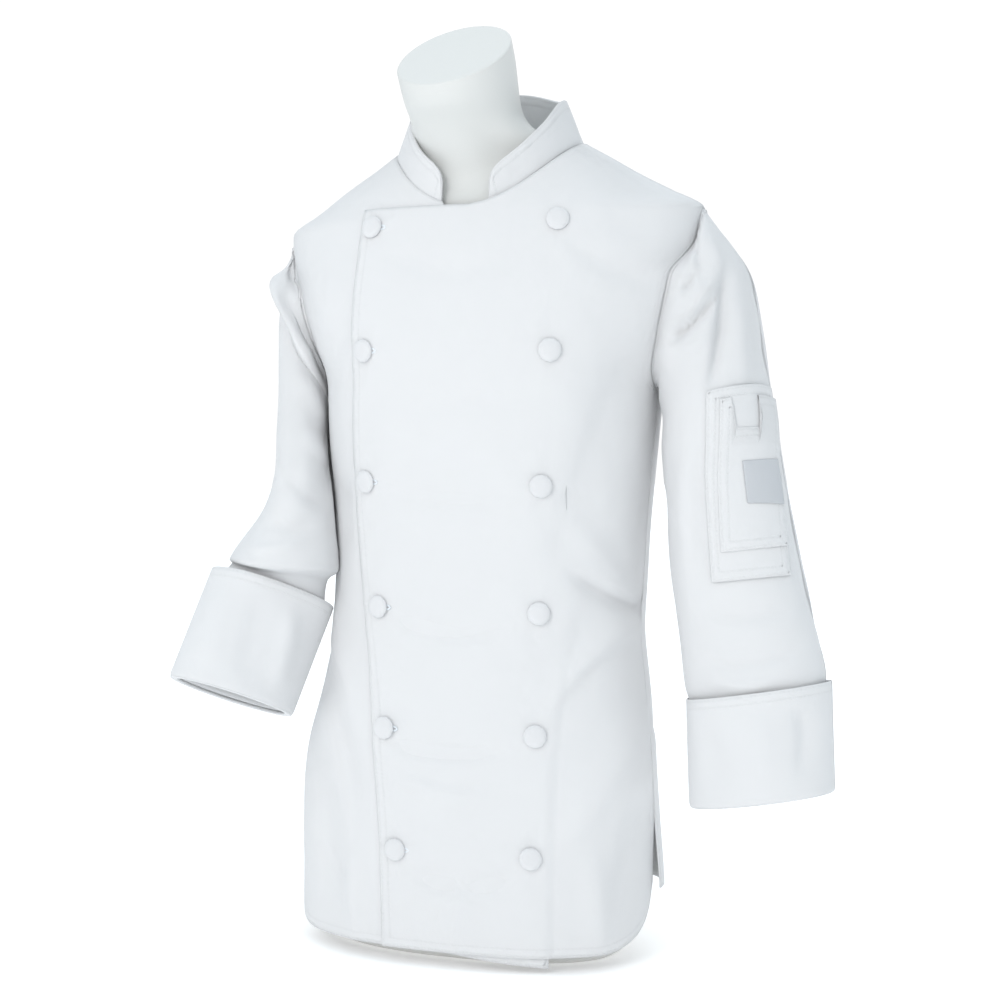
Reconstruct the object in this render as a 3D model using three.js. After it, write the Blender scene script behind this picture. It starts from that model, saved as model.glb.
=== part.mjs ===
// A women's double-breasted chef jacket, buttoned up on a limbless dress form that stands on its flat base.
// Millimetres, +Z up. The front faces -Y, the wearer's left is +X, the origin is the middle of the form's base.
// Each sewn piece is a wall of its own: an outer grid of points, and an inner one sunk by the cloth's thickness.
import * as THREE from "three";

// Cloth thickness, and the gap left between pieces that are sewn to each other.
const CLOTH = 1.6;
const COLLAR_CLOTH = 2.6;
const CUFF_CLOTH = 2.6;
const PATCH_CLOTH = 1.2;
const SEAM = 0.3;

// Level sections of the buttoned body. lean is how far the middle stands to the wearer's left, square is
// the exponent of the superellipse: 2 is an ellipse, more is squarer.
const BODY = [
  { z: 0, lean: -2, half: 161, front: 97, back: 106, square: 2.4 },
  { z: 60, lean: -2, half: 163, front: 98, back: 107, square: 2.4 },
  { z: 120, lean: -1, half: 163, front: 99, back: 106, square: 2.4 },
  { z: 180, lean: 1, half: 158, front: 98, back: 102, square: 2.4 },
  { z: 240, lean: 6, half: 147, front: 95, back: 96, square: 2.4 },
  { z: 298, lean: 9, half: 140, front: 93, back: 92, square: 2.4 },
  { z: 350, lean: 11, half: 141, front: 94, back: 94, square: 2.4 },
  { z: 410, lean: 12, half: 144, front: 98, back: 98, square: 2.4 },
  { z: 470, lean: 13, half: 148, front: 104, back: 101, square: 2.4 },
  { z: 505, lean: 14, half: 151, front: 105, back: 103, square: 2.35 },
  { z: 541, lean: 14, half: 165, front: 104, back: 103, square: 2.3 },
  { z: 575, lean: 14, half: 178, front: 100, back: 101, square: 2.2 },
  { z: 610, lean: 14, half: 186, front: 92, back: 98, square: 2.1 },
  { z: 642, lean: 13, half: 189, front: 82, back: 92, square: 2 },
  { z: 658, lean: 13, half: 163, front: 76, back: 88, square: 2 },
  { z: 674, lean: 12, half: 137, front: 68, back: 82, square: 2 },
  { z: 690, lean: 12, half: 111, front: 58, back: 75, square: 2 },
  { z: 706, lean: 11, half: 85, front: 48, back: 68, square: 2 },
  { z: 724, lean: 11, half: 58, front: 40, back: 61, square: 2 },
];

// The wearer's right shoulder hangs lower than the left one. The tilt fades out down to the chest.
const SHOULDER_TILT = { drop: 10, at: 185, from: 480, to: 640 };

// The armhole is a lens on the body's side: its highest and lowest point, and its reach to front and back. At
// the front its upper part is drawn in to the slim share of the lens.
const ARMHOLE = { top: 642, bottom: 497, front: 42, back: 48, inset: 1, steps: 10, slim: 0.42 };

// Front neckline height, its rise to the shoulder and its further rise to the middle of the back.
const NECKLINE = { front: 654, side: 52, back: 16 };

// The two fronts. edge is the free vertical edge, measured from the middle of the body.
const FRONTS = {
  hem: 14,
  cornerRadius: 56,
  // Share of a quarter turn's arc that counts as the way to the side vent.
  cornerReach: 0.72,
  overEdge: [
    { z: 14, x: -53 },
    { z: 104, x: -56 },
    { z: 206, x: -67 },
    { z: 310, x: -86 },
    { z: 418, x: -96 },
    { z: 531, x: -97 },
    { z: 654, x: -92 },
  ],
  underEdge: 94,
  underDrop: 3,
  hemDrop: 11,
  lift: 3,
  liftRun: 14,
};
const BACK = { hem: 46, leftCorner: 60, ventTop: 150, flare: 8 };

// Row heights up the outer edge of a panel, below its armhole and above it.
const EDGE_ROWS_BELOW = [106, 145, 185, 225, 262, 298, 335, 375, 415, 457];
const EDGE_ROWS_ABOVE = [658, 674, 690];

const COLLAR = {
  gap: 22,
  rows: 3,
  columns: 26,
  // Height and inward lean, from the front end (0) over the shoulder (1) to the middle of the back (2).
  form: [
    { at: 0, height: 27, lean: 1 },
    { at: 0.5, height: 33, lean: 7 },
    { at: 1, height: 39, lean: 17 },
    { at: 1.5, height: 39, lean: 12 },
    { at: 2, height: 38, lean: 7 },
  ],
  endRound: 14,
  endCut: 0.8,
};

// Buttons from the top row to the bottom one: height, half the distance between the columns, and where the
// middle of the closure runs.
const BUTTON_ROWS = [
  { z: 638, spread: 81, middle: 13 },
  { z: 531, spread: 82, middle: 12 },
  { z: 418, spread: 78, middle: 7 },
  { z: 310, spread: 71, middle: 10.5 },
  { z: 206, spread: 66, middle: 13.5 },
  { z: 101, spread: 59, middle: 17.5 },
];
const BUTTON = { radius: 9.8, height: 5.6, base: 1.4, sides: 16 };

// Rings down each sleeve: centre, half size across (w) and from front to back (d), how far the ring's outer
// side is turned to the front, lifted above level, and how far its front is lifted (nod), in degrees.
const SLEEVE_LEFT = [
  { x: 189.5, y: 0, z: 562, w: 68.5, d: 50, turn: 0, lift: 70, nod: 0 },
  { x: 204, y: 0, z: 537, w: 64, d: 53, turn: 0, lift: 54, nod: 0 },
  { x: 213, y: -1, z: 498, w: 51, d: 54, turn: 0, lift: 32, nod: 0 },
  { x: 218, y: -4, z: 462, w: 51, d: 52, turn: 0, lift: 20, nod: 0 },
  { x: 223, y: -8, z: 425, w: 52, d: 50, turn: 0, lift: 14, nod: 1 },
  { x: 233, y: -14, z: 363, w: 55, d: 47, turn: 0, lift: 11, nod: 3 },
  { x: 246, y: -20, z: 301, w: 58, d: 45, turn: 0, lift: 10, nod: 4 },
  { x: 256, y: -26, z: 254, w: 59.5, d: 41, turn: 0, lift: 10, nod: 4 },
  { x: 259, y: -28, z: 238, w: 57, d: 39, turn: 0, lift: 10, nod: 4 },
  { x: 261, y: -31, z: 200, w: 57, d: 39, turn: 0, lift: 10, nod: 4 },
  { x: 264, y: -34, z: 157, w: 57, d: 39, turn: 0, lift: 10, nod: 4 },
];
const SLEEVE_RIGHT = [
  { x: -159, y: 0, z: 554, w: 67, d: 47, turn: 0, lift: 70, nod: 10 },
  { x: -162, y: -5, z: 538, w: 70, d: 56, turn: 0, lift: 64, nod: 26 },
  { x: -162.5, y: -6, z: 531, w: 68, d: 58, turn: 0, lift: 63, nod: 27 },
  { x: -158, y: -6, z: 528, w: 63, d: 51, turn: 0, lift: 66, nod: 27 },
  { x: -158, y: -9, z: 514, w: 50, d: 50, turn: 0, lift: 60, nod: 18 },
  { x: -155, y: -16, z: 484, w: 32, d: 52, turn: 0, lift: 42, nod: 6 },
  { x: -150, y: -29, z: 450, w: 26, d: 54, turn: 0, lift: 20, nod: 0 },
  { x: -146, y: -42, z: 418, w: 27, d: 54, turn: 0, lift: 12, nod: 0 },
  { x: -149, y: -52, z: 385, w: 34, d: 52, turn: 4, lift: 8, nod: 0 },
  { x: -158, y: -62, z: 354, w: 46, d: 50, turn: 8, lift: 5, nod: 2 },
  { x: -161, y: -66, z: 340, w: 49, d: 50, turn: 12, lift: 6, nod: 4 },
  { x: -164, y: -69, z: 335, w: 43, d: 33, turn: 18, lift: 10, nod: 5 },
  { x: -169, y: -74, z: 318, w: 47, d: 29, turn: 26, lift: 17, nod: 8 },
  { x: -175, y: -82, z: 298, w: 51.5, d: 30.5, turn: 30, lift: 20, nod: 13 },
  { x: -193, y: -108, z: 230, w: 51.5, d: 30.5, turn: 30, lift: 20, nod: 17 },
];
const SLEEVE_SIDES = 20;
const SLEEVE_CLEARANCE = 2.2;

// Turned-back cuffs stand this far off the sleeve, from a place up the sleeve down to its end.
const CUFF = { standOff: 3, leftHeight: 89, rightHeight: 100, rows: 4, fold: 3, foldDraw: 1.6, under: 0.5 };

// The pocket on the left sleeve, in ring numbers down the sleeve and degrees round it from the outer side. Its
// edges slant round the sleeve: from and to are at its top, lowFrom and lowTo at its bottom. rise and lowRise
// are how far the top and the bottom climb towards the front, in ring numbers.
const POCKET = { top: 3.57, bottom: 6.45, from: 2, to: 84, lowFrom: 30, lowTo: 102, rise: 0.45, lowRise: 0.06 };
const PEN_POCKET = { top: 3.78, bottom: 6.08, from: 2, to: 72, lowFrom: 27, lowTo: 89, rise: 0.38, lowRise: 0.06 };
const LABEL = { top: 4.94, bottom: 5.55, from: 22, to: 60, lowFrom: 24, lowTo: 61, rise: 0.12, lowRise: 0.1 };
const PATCH_CLEAR = 0.9;
const PATCH_COLUMNS = 10;
// The pen pocket's top is cut down to this ring number between two of its columns.
const NOTCH = { from: 5, to: 8, ring: 4.4 };

// The dress form is the body's own form, sunk by these amounts, with a neck that leans to the front.
const FORM = { sides: 32, inset: 22, shoulderDrop: 2.9, shoulderInset: 7, baseInset: 30, from: 625, to: 662 };
const NECK = [
  { z: 640, x: -4, y: -4, r: 40, tilt: 0 },
  { z: 700, x: 0.4, y: -20, r: 44.4, tilt: 0 },
  { z: 727, x: 0.2, y: -32, r: 46.4, tilt: 0 },
  { z: 742, x: -1, y: -41, r: 49.5, tilt: 12 },
  { z: 762, x: -1.5, y: -49, r: 50.5, tilt: 24 },
  { z: 781, x: -2.8, y: -57, r: 51, tilt: 36 },
];
const NECK_CAP = { tilt: 36, turn: 9, edge: 3 };
// Heights of the form's level rows and of its neck's leaning rows. The lowest neck rows are widened sideways to
// meet the shoulders.
const FORM_ROWS = [0, 6, 60, 130, 200, 260, 310, 370, 440, 500, 545, 580, 612, 634, 643.2];
const SHOULDER_ROWS = [650, 658, 668, 678, 688, 696, 703];
const NECK_ROWS = [712, 722, 732, 742, 752, 762, 772, 781];
const NECK_FOOT = { from: 712, to: 722, spread: 1.08 };

const WHITE_CLOTH = new THREE.MeshStandardMaterial({ color: 0xf2f5f8, roughness: 0.85, metalness: 0 });
const BUTTON_CLOTH = new THREE.MeshStandardMaterial({ color: 0xe9edf1, roughness: 0.8, metalness: 0 });
const LABEL_CLOTH = new THREE.MeshStandardMaterial({ color: 0xd5dbe2, roughness: 0.6, metalness: 0 });
const FORM_WHITE = new THREE.MeshStandardMaterial({ color: 0xf4f4f1, roughness: 0.5, metalness: 0 });

const rad = THREE.MathUtils.degToRad;
const { clamp, lerp, smoothstep } = THREE.MathUtils;
const SIDE = Math.PI / 2;

const jacket = new THREE.Group();

// Tables

// One column of a table as a function of another: a cubic through its rows that never overshoots them.
function column(table, by, of) {
  const x = table.map((row) => row[by]);
  const y = table.map((row) => row[of]);
  const secant = x.slice(1).map((_, i) => (y[i + 1] - y[i]) / (x[i + 1] - x[i]));
  const slope = x.map((_, i) => {
    if (i === 0) return secant[0];
    if (i === x.length - 1) return secant[i - 1];
    const [before, after] = [secant[i - 1], secant[i]];
    return before * after <= 0 ? 0 : (2 * before * after) / (before + after);
  });
  return (at) => {
    const inside = clamp(at, x[0], x[x.length - 1]);
    let i = 0;
    while (i < x.length - 2 && inside > x[i + 1]) i++;
    const run = x[i + 1] - x[i];
    const t = (inside - x[i]) / run;
    const start = y[i] * (1 + 2 * t) * (1 - t) ** 2 + slope[i] * run * t * (1 - t) ** 2;
    const end = y[i + 1] * t * t * (3 - 2 * t) + slope[i + 1] * run * t * t * (t - 1);
    return start + end;
  };
}

function columns(table, by, names) {
  return Object.fromEntries(names.map((name) => [name, column(table, by, name)]));
}

const body = columns(BODY, "z", ["lean", "half", "front", "back", "square"]);
const overEdge = column(FRONTS.overEdge, "z", "x");
const collarForm = columns(COLLAR.form, "at", ["height", "lean"]);

// The body's surface. Angles run round it from the middle of the front (0) by the wearer's left (a quarter
// turn) to the middle of the back (half a turn).

function depthAt(angle, z) {
  return Math.cos(angle) > 0 ? body.front(z) : body.back(z);
}

function bodyPoint(angle, z, grow = 0) {
  const across = Math.abs(Math.sin(angle)) / (body.half(z) + grow);
  const along = Math.abs(Math.cos(angle)) / (depthAt(angle, z) + grow);
  const r = (across ** body.square(z) + along ** body.square(z)) ** (-1 / body.square(z));
  return new THREE.Vector3(body.lean(z) + r * Math.sin(angle), -r * Math.cos(angle), z);
}

// The angle at which the front stands x to the left of the body's middle.
function frontAngle(x, z) {
  const share = Math.min(Math.abs(x) / body.half(z), 0.999);
  return Math.atan2(x, body.front(z) * (1 - share ** body.square(z)) ** (1 / body.square(z)));
}

// The armhole's reach from the side line, as a share of its full reach: a lens, drawn in at the upper front.
function armholeShare(reach, isFront) {
  const slim = isFront ? lerp(1, ARMHOLE.slim, smoothstep(reach, 0.25, 0.7)) : 1;
  return slim * Math.sqrt(1 - reach * reach);
}

// The angle of the left-hand side seam, armhole edge or shoulder seam at a height, on the front or the back.
function outerAngle(z, isBack) {
  const middle = (ARMHOLE.top + ARMHOLE.bottom) / 2;
  const reach = clamp((z - middle) / (ARMHOLE.top - middle), -1, 1);
  const width = isBack ? ARMHOLE.back : ARMHOLE.front;
  const depth = isBack ? body.back(z) : body.front(z);
  const y = Math.max(SEAM, width * armholeShare(reach, !isBack));
  const x = body.half(z) * (1 - (y / depth) ** body.square(z)) ** (1 / body.square(z));
  return Math.atan2(x, isBack ? -y : y);
}

// A point of the armhole's edge, at a turn from the shoulder (0) by the front to the underarm (half a turn).
function armholePoint(turn, side) {
  const middle = (ARMHOLE.top + ARMHOLE.bottom) / 2;
  const z = middle + (ARMHOLE.top - middle - ARMHOLE.inset) * Math.cos(turn);
  const isFront = Math.sin(turn) >= 0;
  const width = (isFront ? ARMHOLE.front : ARMHOLE.back) - ARMHOLE.inset;
  const y = -width * Math.sign(Math.sin(turn)) * armholeShare(Math.cos(turn), isFront);
  const depth = isFront ? body.front(z) : body.back(z);
  const x = body.half(z) * (1 - (Math.abs(y) / depth) ** body.square(z)) ** (1 / body.square(z));
  return new THREE.Vector3(body.lean(z) + side * x, y, z);
}

function necklineHeight(angle) {
  const front = NECKLINE.front + (NECKLINE.side * (1 - Math.cos(2 * Math.min(Math.abs(angle), SIDE)))) / 2;
  const behind = Math.max(Math.abs(angle) - SIDE, 0);
  return front + (NECKLINE.back * (1 - Math.cos(2 * behind))) / 2;
}

// The last step for every piece: the shoulders' tilt.
function tilted(point) {
  const { drop, at, from, to } = SHOULDER_TILT;
  const share = clamp(point.x / at, -1, 1);
  point.z += drop * share * Math.abs(share) * smoothstep(point.z, from, to);
  return point;
}

// Walls

// Unit normals of a grid of points, from the differences between neighbours; flip turns them round.
function gridNormals(grid, isRound, flip) {
  const last = grid[0].length - 1;
  return grid.map((row, i) =>
    row.map((_, j) => {
      const left = isRound ? row[(j + last) % (last + 1)] : row[Math.max(j - 1, 0)];
      const right = isRound ? row[(j + 1) % (last + 1)] : row[Math.min(j + 1, last)];
      const below = grid[Math.max(i - 1, 0)][j];
      const above = grid[Math.min(i + 1, grid.length - 1)][j];
      const across = right.clone().sub(left);
      const normal = across.cross(above.clone().sub(below)).normalize();
      return flip ? normal.negate() : normal;
    }),
  );
}

function moved(grid, normals, distance) {
  return grid.map((row, i) => row.map((point, j) => point.clone().addScaledVector(normals[i][j], distance)));
}

// Triangles over a closed surface given as rows of points; the rows themselves may close up as well.
function meshFrom(rows, { roundAcross, roundAlong, capStart, capEnd }, material, name) {
  const width = rows[0].length;
  const positions = rows.flat().flatMap((p) => [p.x, p.y, p.z]);
  const index = [];
  const at = (i, j) => (i % rows.length) * width + (j % width);
  for (let i = 0; i < rows.length - (roundAlong ? 0 : 1); i++)
    for (let j = 0; j < width - (roundAcross ? 0 : 1); j++) {
      index.push(at(i, j), at(i, j + 1), at(i + 1, j + 1));
      index.push(at(i, j), at(i + 1, j + 1), at(i + 1, j));
    }
  const cap = (i, isStart) => {
    const middle = rows[i].reduce((sum, p) => sum.add(p), new THREE.Vector3()).divideScalar(width);
    const centre = positions.length / 3;
    positions.push(middle.x, middle.y, middle.z);
    for (let j = 0; j < width; j++)
      index.push(...(isStart ? [centre, at(i, j + 1), at(i, j)] : [centre, at(i, j), at(i, j + 1)]));
  };
  if (capStart) cap(0, true);
  if (capEnd) cap(rows.length - 1, false);
  addMesh(name, positions, index, material);
}

// Adds a closed mesh with its faces turned outwards.
function addMesh(name, positions, index, material) {
  const geometry = new THREE.BufferGeometry();
  geometry.setAttribute("position", new THREE.Float32BufferAttribute(positions, 3));
  geometry.setIndex(volumeOf(positions, index) < 0 ? index.reverse() : index);
  geometry.computeVertexNormals();
  const mesh = new THREE.Mesh(geometry, material);
  mesh.name = name;
  jacket.add(mesh);
}

function volumeOf(positions, index) {
  const corner = (i) => new THREE.Vector3().fromArray(positions, index[i] * 3);
  let volume = 0;
  for (let i = 0; i < index.length; i += 3) volume += corner(i).dot(corner(i + 1).cross(corner(i + 2)));
  return volume;
}

// A panel's wall: each row runs over the outer points and back over the inner ones, and the first and last
// rows are closed by strips of their own.
function addPanel(name, outer, inner, material = WHITE_CLOTH) {
  const loops = outer.map((row, i) => [...row, ...[...inner[i]].reverse()]);
  const width = outer[0].length;
  const positions = loops.flat().flatMap((p) => [p.x, p.y, p.z]);
  const index = [];
  const at = (i, j) => i * 2 * width + (j % (2 * width));
  for (let i = 0; i < loops.length - 1; i++)
    for (let j = 0; j < 2 * width; j++) {
      index.push(at(i, j), at(i, j + 1), at(i + 1, j + 1));
      index.push(at(i, j), at(i + 1, j + 1), at(i + 1, j));
    }
  for (let j = 0; j < width - 1; j++) {
    const back = 2 * width - 1 - j;
    const top = loops.length - 1;
    index.push(at(0, j + 1), at(0, j), at(0, back), at(0, j + 1), at(0, back), at(0, back - 1));
    index.push(at(top, j), at(top, j + 1), at(top, back), at(top, back), at(top, j + 1), at(top, back - 1));
  }
  addMesh(name, positions, index, material);
}

// Panels of the body

// Shares of the way from hem to neckline, for rows whose heights are given on the panel's outer edge.
function rowShares(hem) {
  const middle = (ARMHOLE.top + ARMHOLE.bottom) / 2;
  const armhole = Array.from({ length: ARMHOLE.steps + 1 }, (_, i) => {
    return middle - (ARMHOLE.top - middle) * Math.cos((Math.PI * i) / ARMHOLE.steps);
  });
  const top = necklineHeight(SIDE);
  const heights = [hem, ...EDGE_ROWS_BELOW.filter((z) => z > hem + 20), ...armhole, ...EDGE_ROWS_ABOVE, top];
  return heights.map((z) => (z - hem) / (top - hem));
}

// Places along a row: stations with a number of equal steps between each two.
function stations(steps) {
  return steps.flatMap((count, k) =>
    Array.from({ length: count }, (_, i) => ({ span: k, share: i / count })),
  ).concat({ span: steps.length - 1, share: 1 });
}

// Above the front of the neckline each column keeps its angle, so that it ends on the neckline.
function panelGrid(places, shares, anglesAt, hemAt, topAt, growAt) {
  return shares.map((share) =>
    places.map(({ span, share: along }) => {
      const angleFor = (height) => {
        const lines = anglesAt(Math.min(height, NECKLINE.front));
        return lerp(lines[span], lines[span + 1], along);
      };
      const top = topAt(angleFor(NECKLINE.front));
      const z = lerp(hemAt(angleFor(FRONTS.hem)), top, share);
      const angle = angleFor(z);
      return tilted(bodyPoint(angle, z, growAt(angle, z)));
    }),
  );
}

// The hem rises round a quarter circle towards the side vent.
function frontHem(angle, lowest) {
  const toSide = (SIDE - Math.abs(angle)) * body.half(0) * FRONTS.cornerReach;
  const inside = clamp(FRONTS.cornerRadius - toSide, 0, FRONTS.cornerRadius);
  return lowest + FRONTS.cornerRadius - Math.sqrt(FRONTS.cornerRadius ** 2 - inside ** 2);
}

function overLift(angle, z) {
  const x = bodyPoint(angle, z).x - body.lean(z);
  return FRONTS.lift * (1 - smoothstep(x, FRONTS.underEdge + 3, FRONTS.underEdge + FRONTS.liftRun));
}

function addPanelOf(name, grid, thickness) {
  addPanel(name, grid, moved(grid, gridNormals(grid, false, false), -thickness));
}

function overPanel() {
  const angles = (z) => [
    frontAngle(overEdge(z), z),
    frontAngle(FRONTS.underEdge, z),
    frontAngle(FRONTS.underEdge + FRONTS.liftRun, z),
    outerAngle(z, false),
  ];
  const top = (angle) => (angle > 0.1 ? necklineHeight(angle) : NECKLINE.front);
  const hem = (angle) => frontHem(Math.max(angle, 0), FRONTS.hem);
  return panelGrid(stations([10, 1, 8]), rowShares(hem(SIDE)), angles, hem, top, overLift);
}

function underPanel() {
  const angles = (z) => [
    -outerAngle(z, false),
    frontAngle(overEdge(z), z),
    frontAngle(FRONTS.underEdge, z),
  ];
  const gapAngle = -frontAngle(COLLAR.gap - 4, NECKLINE.front);
  const top = (angle) => (angle < gapAngle ? necklineHeight(angle) : NECKLINE.front - FRONTS.underDrop);
  const hem = (angle) => frontHem(Math.min(angle, 0), FRONTS.hem - FRONTS.hemDrop * clamp(angle, 0, 1));
  return panelGrid(stations([9, 10]), rowShares(hem(-SIDE)), angles, hem, top, () => 0);
}

function backPanel() {
  const angles = (z) => [outerAngle(z, true), Math.PI * 2 - outerAngle(z, true)];
  const hem = (angle) => BACK.hem + (BACK.leftCorner - BACK.hem) * smoothstep(Math.PI - angle, 0.6, SIDE);
  const top = (angle) => necklineHeight(Math.min(angle, 2 * Math.PI - angle));
  const flare = (angle, z) => {
    const fromEdge = Math.min(angle - SIDE, 3 * SIDE - angle);
    return BACK.flare * (1 - smoothstep(fromEdge, 0, 0.5)) * (1 - smoothstep(z, BACK.hem, BACK.ventTop));
  };
  return panelGrid(stations([24]), rowShares(BACK.leftCorner), angles, hem, top, flare);
}

// Collar: a standing band on the neckline, from one front end round the back to the other.

function collarGrid() {
  const start = frontAngle(COLLAR.gap, NECKLINE.front);
  return Array.from({ length: COLLAR.rows + 1 }, (_, i) =>
    Array.from({ length: COLLAR.columns + 1 }, (_, j) => {
      const angle = lerp(start, 2 * Math.PI - start, j / COLLAR.columns);
      const near = Math.min(angle, 2 * Math.PI - angle);
      const at = near < SIDE ? (near - start) / (SIDE - start) : near / SIDE;
      const foot = bodyPoint(angle, necklineHeight(near));
      const outwards = new THREE.Vector3(Math.sin(angle), -Math.cos(angle), 0);
      const toEnd = (near - start) * body.front(NECKLINE.front);
      const rounding = clamp(COLLAR.endRound - toEnd, 0, COLLAR.endRound);
      const cut = COLLAR.endRound - Math.sqrt(COLLAR.endRound ** 2 - rounding ** 2);
      const height = (collarForm.height(at) - cut * COLLAR.endCut) * (i / COLLAR.rows);
      foot.z += SEAM + 0.4 + height;
      foot.addScaledVector(outwards, (-collarForm.lean(at) * i) / COLLAR.rows);
      return tilted(foot);
    }),
  );
}

// Sleeves

function pushedOut(point, clearance) {
  const half = body.half(point.z) + clearance;
  const depth = (point.y < 0 ? body.front(point.z) : body.back(point.z)) + clearance;
  const square = body.square(point.z);
  const x = point.x - body.lean(point.z);
  const inside = Math.abs(x / half) ** square + Math.abs(point.y / depth) ** square;
  if (inside >= 1) return point;
  const scale = inside ** (-1 / square);
  return point.set(body.lean(point.z) + x * scale, point.y * scale, point.z);
}

// A point on a ring at a turn from its outer side (0) by the front to the inner side (half a turn).
function ringPoint(ring, turn, side, grow = 0) {
  const [yaw, lift, nod] = [rad(ring.turn), rad(ring.lift), rad(ring.nod)];
  const out = new THREE.Vector3(
    side * Math.cos(yaw) * Math.cos(lift),
    -Math.sin(yaw) * Math.cos(lift),
    Math.sin(lift),
  );
  const front = new THREE.Vector3(
    -side * Math.sin(yaw) * Math.cos(nod),
    -Math.cos(yaw) * Math.cos(nod),
    Math.sin(nod),
  );
  return new THREE.Vector3(ring.x, ring.y, ring.z)
    .addScaledVector(out, (ring.w + grow) * Math.cos(turn))
    .addScaledVector(front, (ring.d + grow) * Math.sin(turn));
}

// A smooth line down the sleeve at one turn, from the armhole (ring 0) through every ring.
function sleeveLine(rings, turn, side) {
  const points = [armholePoint(turn, side), ...rings.map((ring) => ringPoint(ring, turn, side))];
  points.forEach((point, k) => {
    if (k > 0) pushedOut(point, SLEEVE_CLEARANCE);
  });
  return new THREE.CatmullRomCurve3(points, false, "centripetal");
}

// Ring numbers at which a sleeve is cut into rows: four close ones on the cap, then by halves.
function sleeveRows(rings) {
  const halves = Array.from({ length: 2 * rings.length - 1 }, (_, i) => 1 + i / 2);
  return [0, 0.3, 0.65, ...halves];
}

function sleeveGrid(rings, side) {
  const lines = Array.from({ length: SLEEVE_SIDES }, (_, j) => {
    return sleeveLine(rings, (2 * Math.PI * j) / SLEEVE_SIDES, side);
  });
  return sleeveRows(rings).map((k) =>
    lines.map((line) => {
      const point = line.getPoint(k / rings.length);
      return k === 0 ? point : pushedOut(point, SLEEVE_CLEARANCE);
    }),
  );
}

function addTube(name, outer, thickness, side) {
  const normals = gridNormals(outer, true, side < 0);
  const inner = moved(outer, normals, -thickness);
  const rows = [...outer, ...inner.reverse()];
  meshFrom(rows, { roundAcross: true, roundAlong: true }, WHITE_CLOTH, name);
}

// A cuff's outline across the cloth: off is the distance from the sleeve, up the height above its end.
// It stands outside the sleeve, and its fold closes under the sleeve's end.
function cuffOutline(height) {
  const outside = CUFF.standOff + CUFF_CLOTH;
  const wall = Array.from({ length: CUFF.rows + 1 }, (_, i) => {
    return { off: outside, up: lerp(height, 0, i / CUFF.rows) };
  });
  const under = -SEAM - CUFF.fold;
  return [
    ...wall,
    { off: outside - CUFF.foldDraw, up: under },
    { off: -CLOTH, up: under },
    { off: -CLOTH, up: -CUFF.under },
    { off: CUFF.standOff, up: -CUFF.under },
    { off: CUFF.standOff, up: height / 2 },
    { off: CUFF.standOff, up: height },
  ];
}

function addCuff(name, rings, height, side) {
  const end = rings[rings.length - 1];
  const before = rings[rings.length - 2];
  const axis = new THREE.Vector3(before.x - end.x, before.y - end.y, before.z - end.z).normalize();
  const rows = cuffOutline(height).map(({ off, up }) =>
    Array.from({ length: SLEEVE_SIDES }, (_, j) => {
      const point = ringPoint(end, (2 * Math.PI * j) / SLEEVE_SIDES, side, off).addScaledVector(axis, up);
      return tilted(pushedOut(point, SLEEVE_CLEARANCE + 1));
    }),
  );
  meshFrom(rows, { roundAcross: true, roundAlong: true }, WHITE_CLOTH, name);
}

// Patches on the left sleeve, made from its own points.

// A point of the sleeve's faceted surface at a ring number and a turn, both of them between grid lines.
function onSleeve(grid, ringNumbers, ring, turn) {
  let i = 0;
  while (i < ringNumbers.length - 2 && ring > ringNumbers[i + 1]) i++;
  const down = (ring - ringNumbers[i]) / (ringNumbers[i + 1] - ringNumbers[i]);
  const column = (turn / (2 * Math.PI)) * SLEEVE_SIDES;
  const j = Math.floor(column);
  const along = (row) => row[j].clone().lerp(row[(j + 1) % SLEEVE_SIDES], column - j);
  return along(grid[i]).lerp(along(grid[i + 1]), down);
}

// Values from one number to another, with the grid's own lines between them.
function between(from, to, lines) {
  return [from, ...lines.filter((line) => line > from + 0.02 && line < to - 0.02), to];
}

function addPatch(name, grid, ringNumbers, patch, lift, material, notch = null) {
  const rings = between(patch.top, patch.bottom, ringNumbers);
  const flat = rings.map((ring) => {
    const down = (ring - patch.top) / (patch.bottom - patch.top);
    return Array.from({ length: PATCH_COLUMNS + 1 }, (_, j) => {
      const share = j / PATCH_COLUMNS;
      const turn = lerp(lerp(patch.from, patch.to, share), lerp(patch.lowFrom, patch.lowTo, share), down);
      const isNotch = notch && j >= notch.from && j <= notch.to;
      const top = (isNotch ? notch.ring : patch.top) - patch.rise * share;
      return onSleeve(grid, ringNumbers, lerp(top, patch.bottom - patch.lowRise * share, down), rad(turn));
    });
  });
  const normals = gridNormals(flat, false, false);
  addPanel(name, moved(flat, normals, lift + PATCH_CLOTH), moved(flat, normals, lift), material);
}

// Buttons

function addButton(name, x, z) {
  const { radius, height, base, sides } = BUTTON;
  const dome = Array.from({ length: 4 }, (_, i) => {
    const turn = (i / 4) * SIDE;
    return new THREE.Vector2(radius * Math.cos(turn), base + (height - base) * Math.sin(turn));
  });
  const profile = [new THREE.Vector2(0, 0), new THREE.Vector2(radius - 1.2, 0), ...dome, new THREE.Vector2(0, height)];
  const geometry = new THREE.LatheGeometry(profile, sides);
  const angle = frontAngle(x - body.lean(z), z);
  const at = (a, h) => bodyPoint(a, h, overLift(a, h));
  const place = at(angle, z);
  const across = at(angle + 0.01, z).sub(at(angle - 0.01, z));
  const outwards = across.cross(at(angle, z + 1).sub(at(angle, z - 1))).normalize();
  const mesh = new THREE.Mesh(geometry, BUTTON_CLOTH);
  mesh.quaternion.setFromUnitVectors(new THREE.Vector3(0, 1, 0), outwards);
  mesh.position.copy(tilted(place).addScaledVector(outwards, SEAM));
  mesh.name = name;
  jacket.add(mesh);
}

// Dress form

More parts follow.
